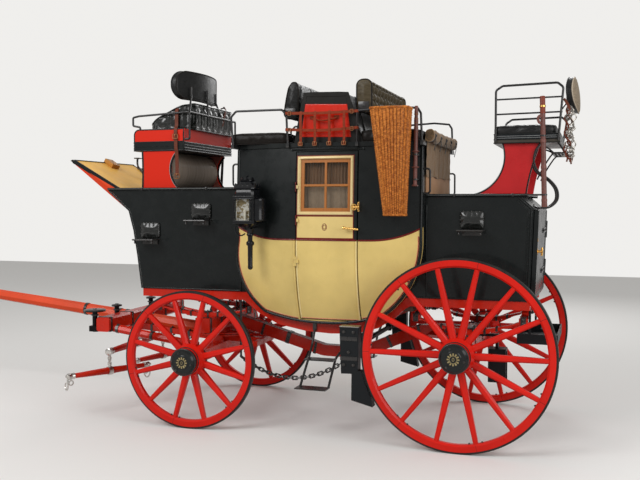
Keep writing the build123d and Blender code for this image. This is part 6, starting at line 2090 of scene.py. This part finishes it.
def cabin_lining():
    """Pleated cloth on the cabin's inner walls."""
    for side, name in NAMED_SIDES:
        for part, x0, x1 in (("front", -1655, -1215), ("rear", -705, -315)):
            columns, rows = 84, 14

            def quilted(i, j, side=side, x0=x0, x1=x1):
                x, z = x0 + (x1 - x0) * i / columns, 1250 + (2036 - 1250) * j / rows
                pleat = 6 * abs(math.sin(math.pi * i / 4)) if z > 1700 else \
                    4 * abs(math.sin(math.pi * i / 12)) * abs(math.sin(math.pi * j / 4))
                return on_side(x, z, side, -30 - pleat)

            bm = bmesh.new()
            grid(bm, columns, rows, quilted)
            make(f"cabin_lining_{part}_{name}", bm, "lining_brown")


# Doors

def door_dress():
    """Edge beads, brass lobed knobs, and the pleated blinds behind the door windows."""
    for side, name in NAMED_SIDES:
        body = "door_" + name
        bm = bmesh.new()
        for x in (-1183, -737):
            sweep(bm, [on_side(x, z, side, 0.5) for z in (*range(840, 1392, 29), 1412)],
                  half_round(11, 5.5), up=(0, side, 0))
        make("door_beads_" + name, bm, "pale_cream", body)
        bm = bmesh.new()
        y = side * 686
        for a in turns(6):
            turned(bm, [(0, -6), (8.5, -4), (10.5, 0), (8.5, 4), (0, 6)],
                   at(-706, y + 17 * math.cos(a), 1657 + 21 * math.sin(a)), (1, 0, 0), 12)
        turned(bm, [(0, -9.5), (13, -7), (17, 0), (13, 7), (0, 9.5)], at(-706, y, 1657), (1, 0, 0),
               18)
        turned(bm, [(23, 0), (23, 3), (17, 6), (13, 12), (12, 30)], at(-750, side * 651, 1655),
               (0, side, 0), 22)
        turned(bm, [(0, -10), (10.5, -6), (11.5, 0), (10.5, 6), (0, 10)],
               at(-818, side * 676, 1508), (1, 0, 0), 14)
        make("door_knob_" + name, bm, "brass", body)
        rail = bmesh.new()
        for z in (2008, 1806):
            turned(rail, [(0, 0), (4.5, 1), (4.5, 379), (0, 380)],
                   at(-1156, side * (side_y(-966, z) - 58), z), (1, 0, 0), 10)
        rod_piece = make("blind_rods_" + name, rail, "brass", body)
        for part, z0, z1, colour, depth, pitch in (("upper", 1802, 2006, "blind_brown", 5.0, 24.0),
                                                   ("lower", 1606, 1800, "blind_grey", 1.5, 34.0)):
            columns, rows = 150, 10

            def pleated(i, j, z0=z0, z1=z1, depth=depth, pitch=pitch, side=side):
                x, z = -1152 + 372 * i / columns, z0 + (z1 - z0) * j / rows
                fold = depth * math.sin(2 * math.pi * x / pitch + 0.6 * math.sin(z / 70))
                return on_side(x, z, side, fold - 58)

            bm = bmesh.new()
            grid(bm, columns, rows, pleated)
            area = sum(face.calc_area() for face in bm.faces)
            blind = make(f"door_blind_{part}_{name}", bm, colour, body)


# Studio and camera

def studio():
    """A pale floor, a soft key lamp, a fill and an even sky."""
    floor = Paint("studio_floor")
    pale = (0.80, 0.79, 0.775)
    path = floor.node("ShaderNodeLightPath").outputs
    seen = floor.math("MAXIMUM", path["Is Camera Ray"],
                      floor.math("MAXIMUM", path["Is Glossy Ray"], path["Is Transmission Ray"]))
    floor.finish(floor.mix(seen, (0.42, 0.41, 0.40), pale), 0.9, specular=0.1)
    bm = bmesh.new()
    block(bm, (-14, -14, -0.02), (14, 14, 0.0))
    ground = make("studio_ground", bm, floor.material, smooth=False)
    world = bpy.data.worlds.new("studio_sky")
    bpy.context.scene.world = world
    world.use_nodes = True
    tree = world.node_tree
    back = tree.nodes["Background"]
    back.inputs["Color"].default_value = (1.0, 0.99, 0.97, 1.0)
    back.inputs["Strength"].default_value = 0.50
    white = tree.nodes.new("ShaderNodeBackground")
    white.inputs["Color"].default_value = (0.87, 0.86, 0.84, 1.0)
    light = tree.nodes.new("ShaderNodeLightPath")
    shown = tree.nodes.new("ShaderNodeMath")
    shown.operation = "MAXIMUM"
    tree.links.new(light.outputs["Is Camera Ray"], shown.inputs[0])
    tree.links.new(light.outputs["Is Transmission Ray"], shown.inputs[1])
    mixer = tree.nodes.new("ShaderNodeMixShader")
    tree.links.new(shown.outputs[0], mixer.inputs[0])
    tree.links.new(back.outputs[0], mixer.inputs[1])
    tree.links.new(white.outputs[0], mixer.inputs[2])
    tree.links.new(mixer.outputs[0], tree.nodes["World Output"].inputs[0])
    lamps = (("key", (-2.5, -7.0, 6.0), 4.0, 420.0), ("fill", (6.5, -3.5, 3.2), 3.5, 150.0),
             ("rim", (1.5, 7.0, 5.5), 4.0, 180.0))
    for name, place, size, power in lamps:
        lamp = bpy.data.lights.new(name, "AREA")
        lamp.size = size
        lamp.energy = power
        holder = bpy.data.objects.new(name, lamp)
        holder.location = place
        aim = Vector((0.0, 0.0, 1.1)) - Vector(place)
        holder.rotation_euler = aim.to_track_quat("-Z", "Y").to_euler()
        bpy.context.scene.collection.objects.link(holder)


def camera():
    """The photo's view, fitted to the four wheels."""
    lens = bpy.data.cameras.new("camera")
    lens.lens = 46.73
    lens.sensor_width = 36.0
    holder = bpy.data.objects.new("camera", lens)
    holder.location = (3.307863, -6.285, 1.676)
    holder.rotation_euler = (math.radians(90 - 2.474), 0.0, math.radians(18.606))
    bpy.context.scene.collection.objects.link(holder)
    bpy.context.scene.camera = holder
    bpy.context.scene.view_settings.view_transform = "Standard"


studio()
camera()

cabin_trim()
basket()
trunk()
roof_cushions()
box_wedge()
roof_rolls()
back_rests()
step_flaps()
cabin_seats()
swell()
box_trim()
boot_trim()
hind_seat_trim()
bit_bunch()
long_cases()
lamps()
apron()
wheel_trim()
spring_trim()
brake_trim()
draught_trim()
cabin_lining()
door_dress()
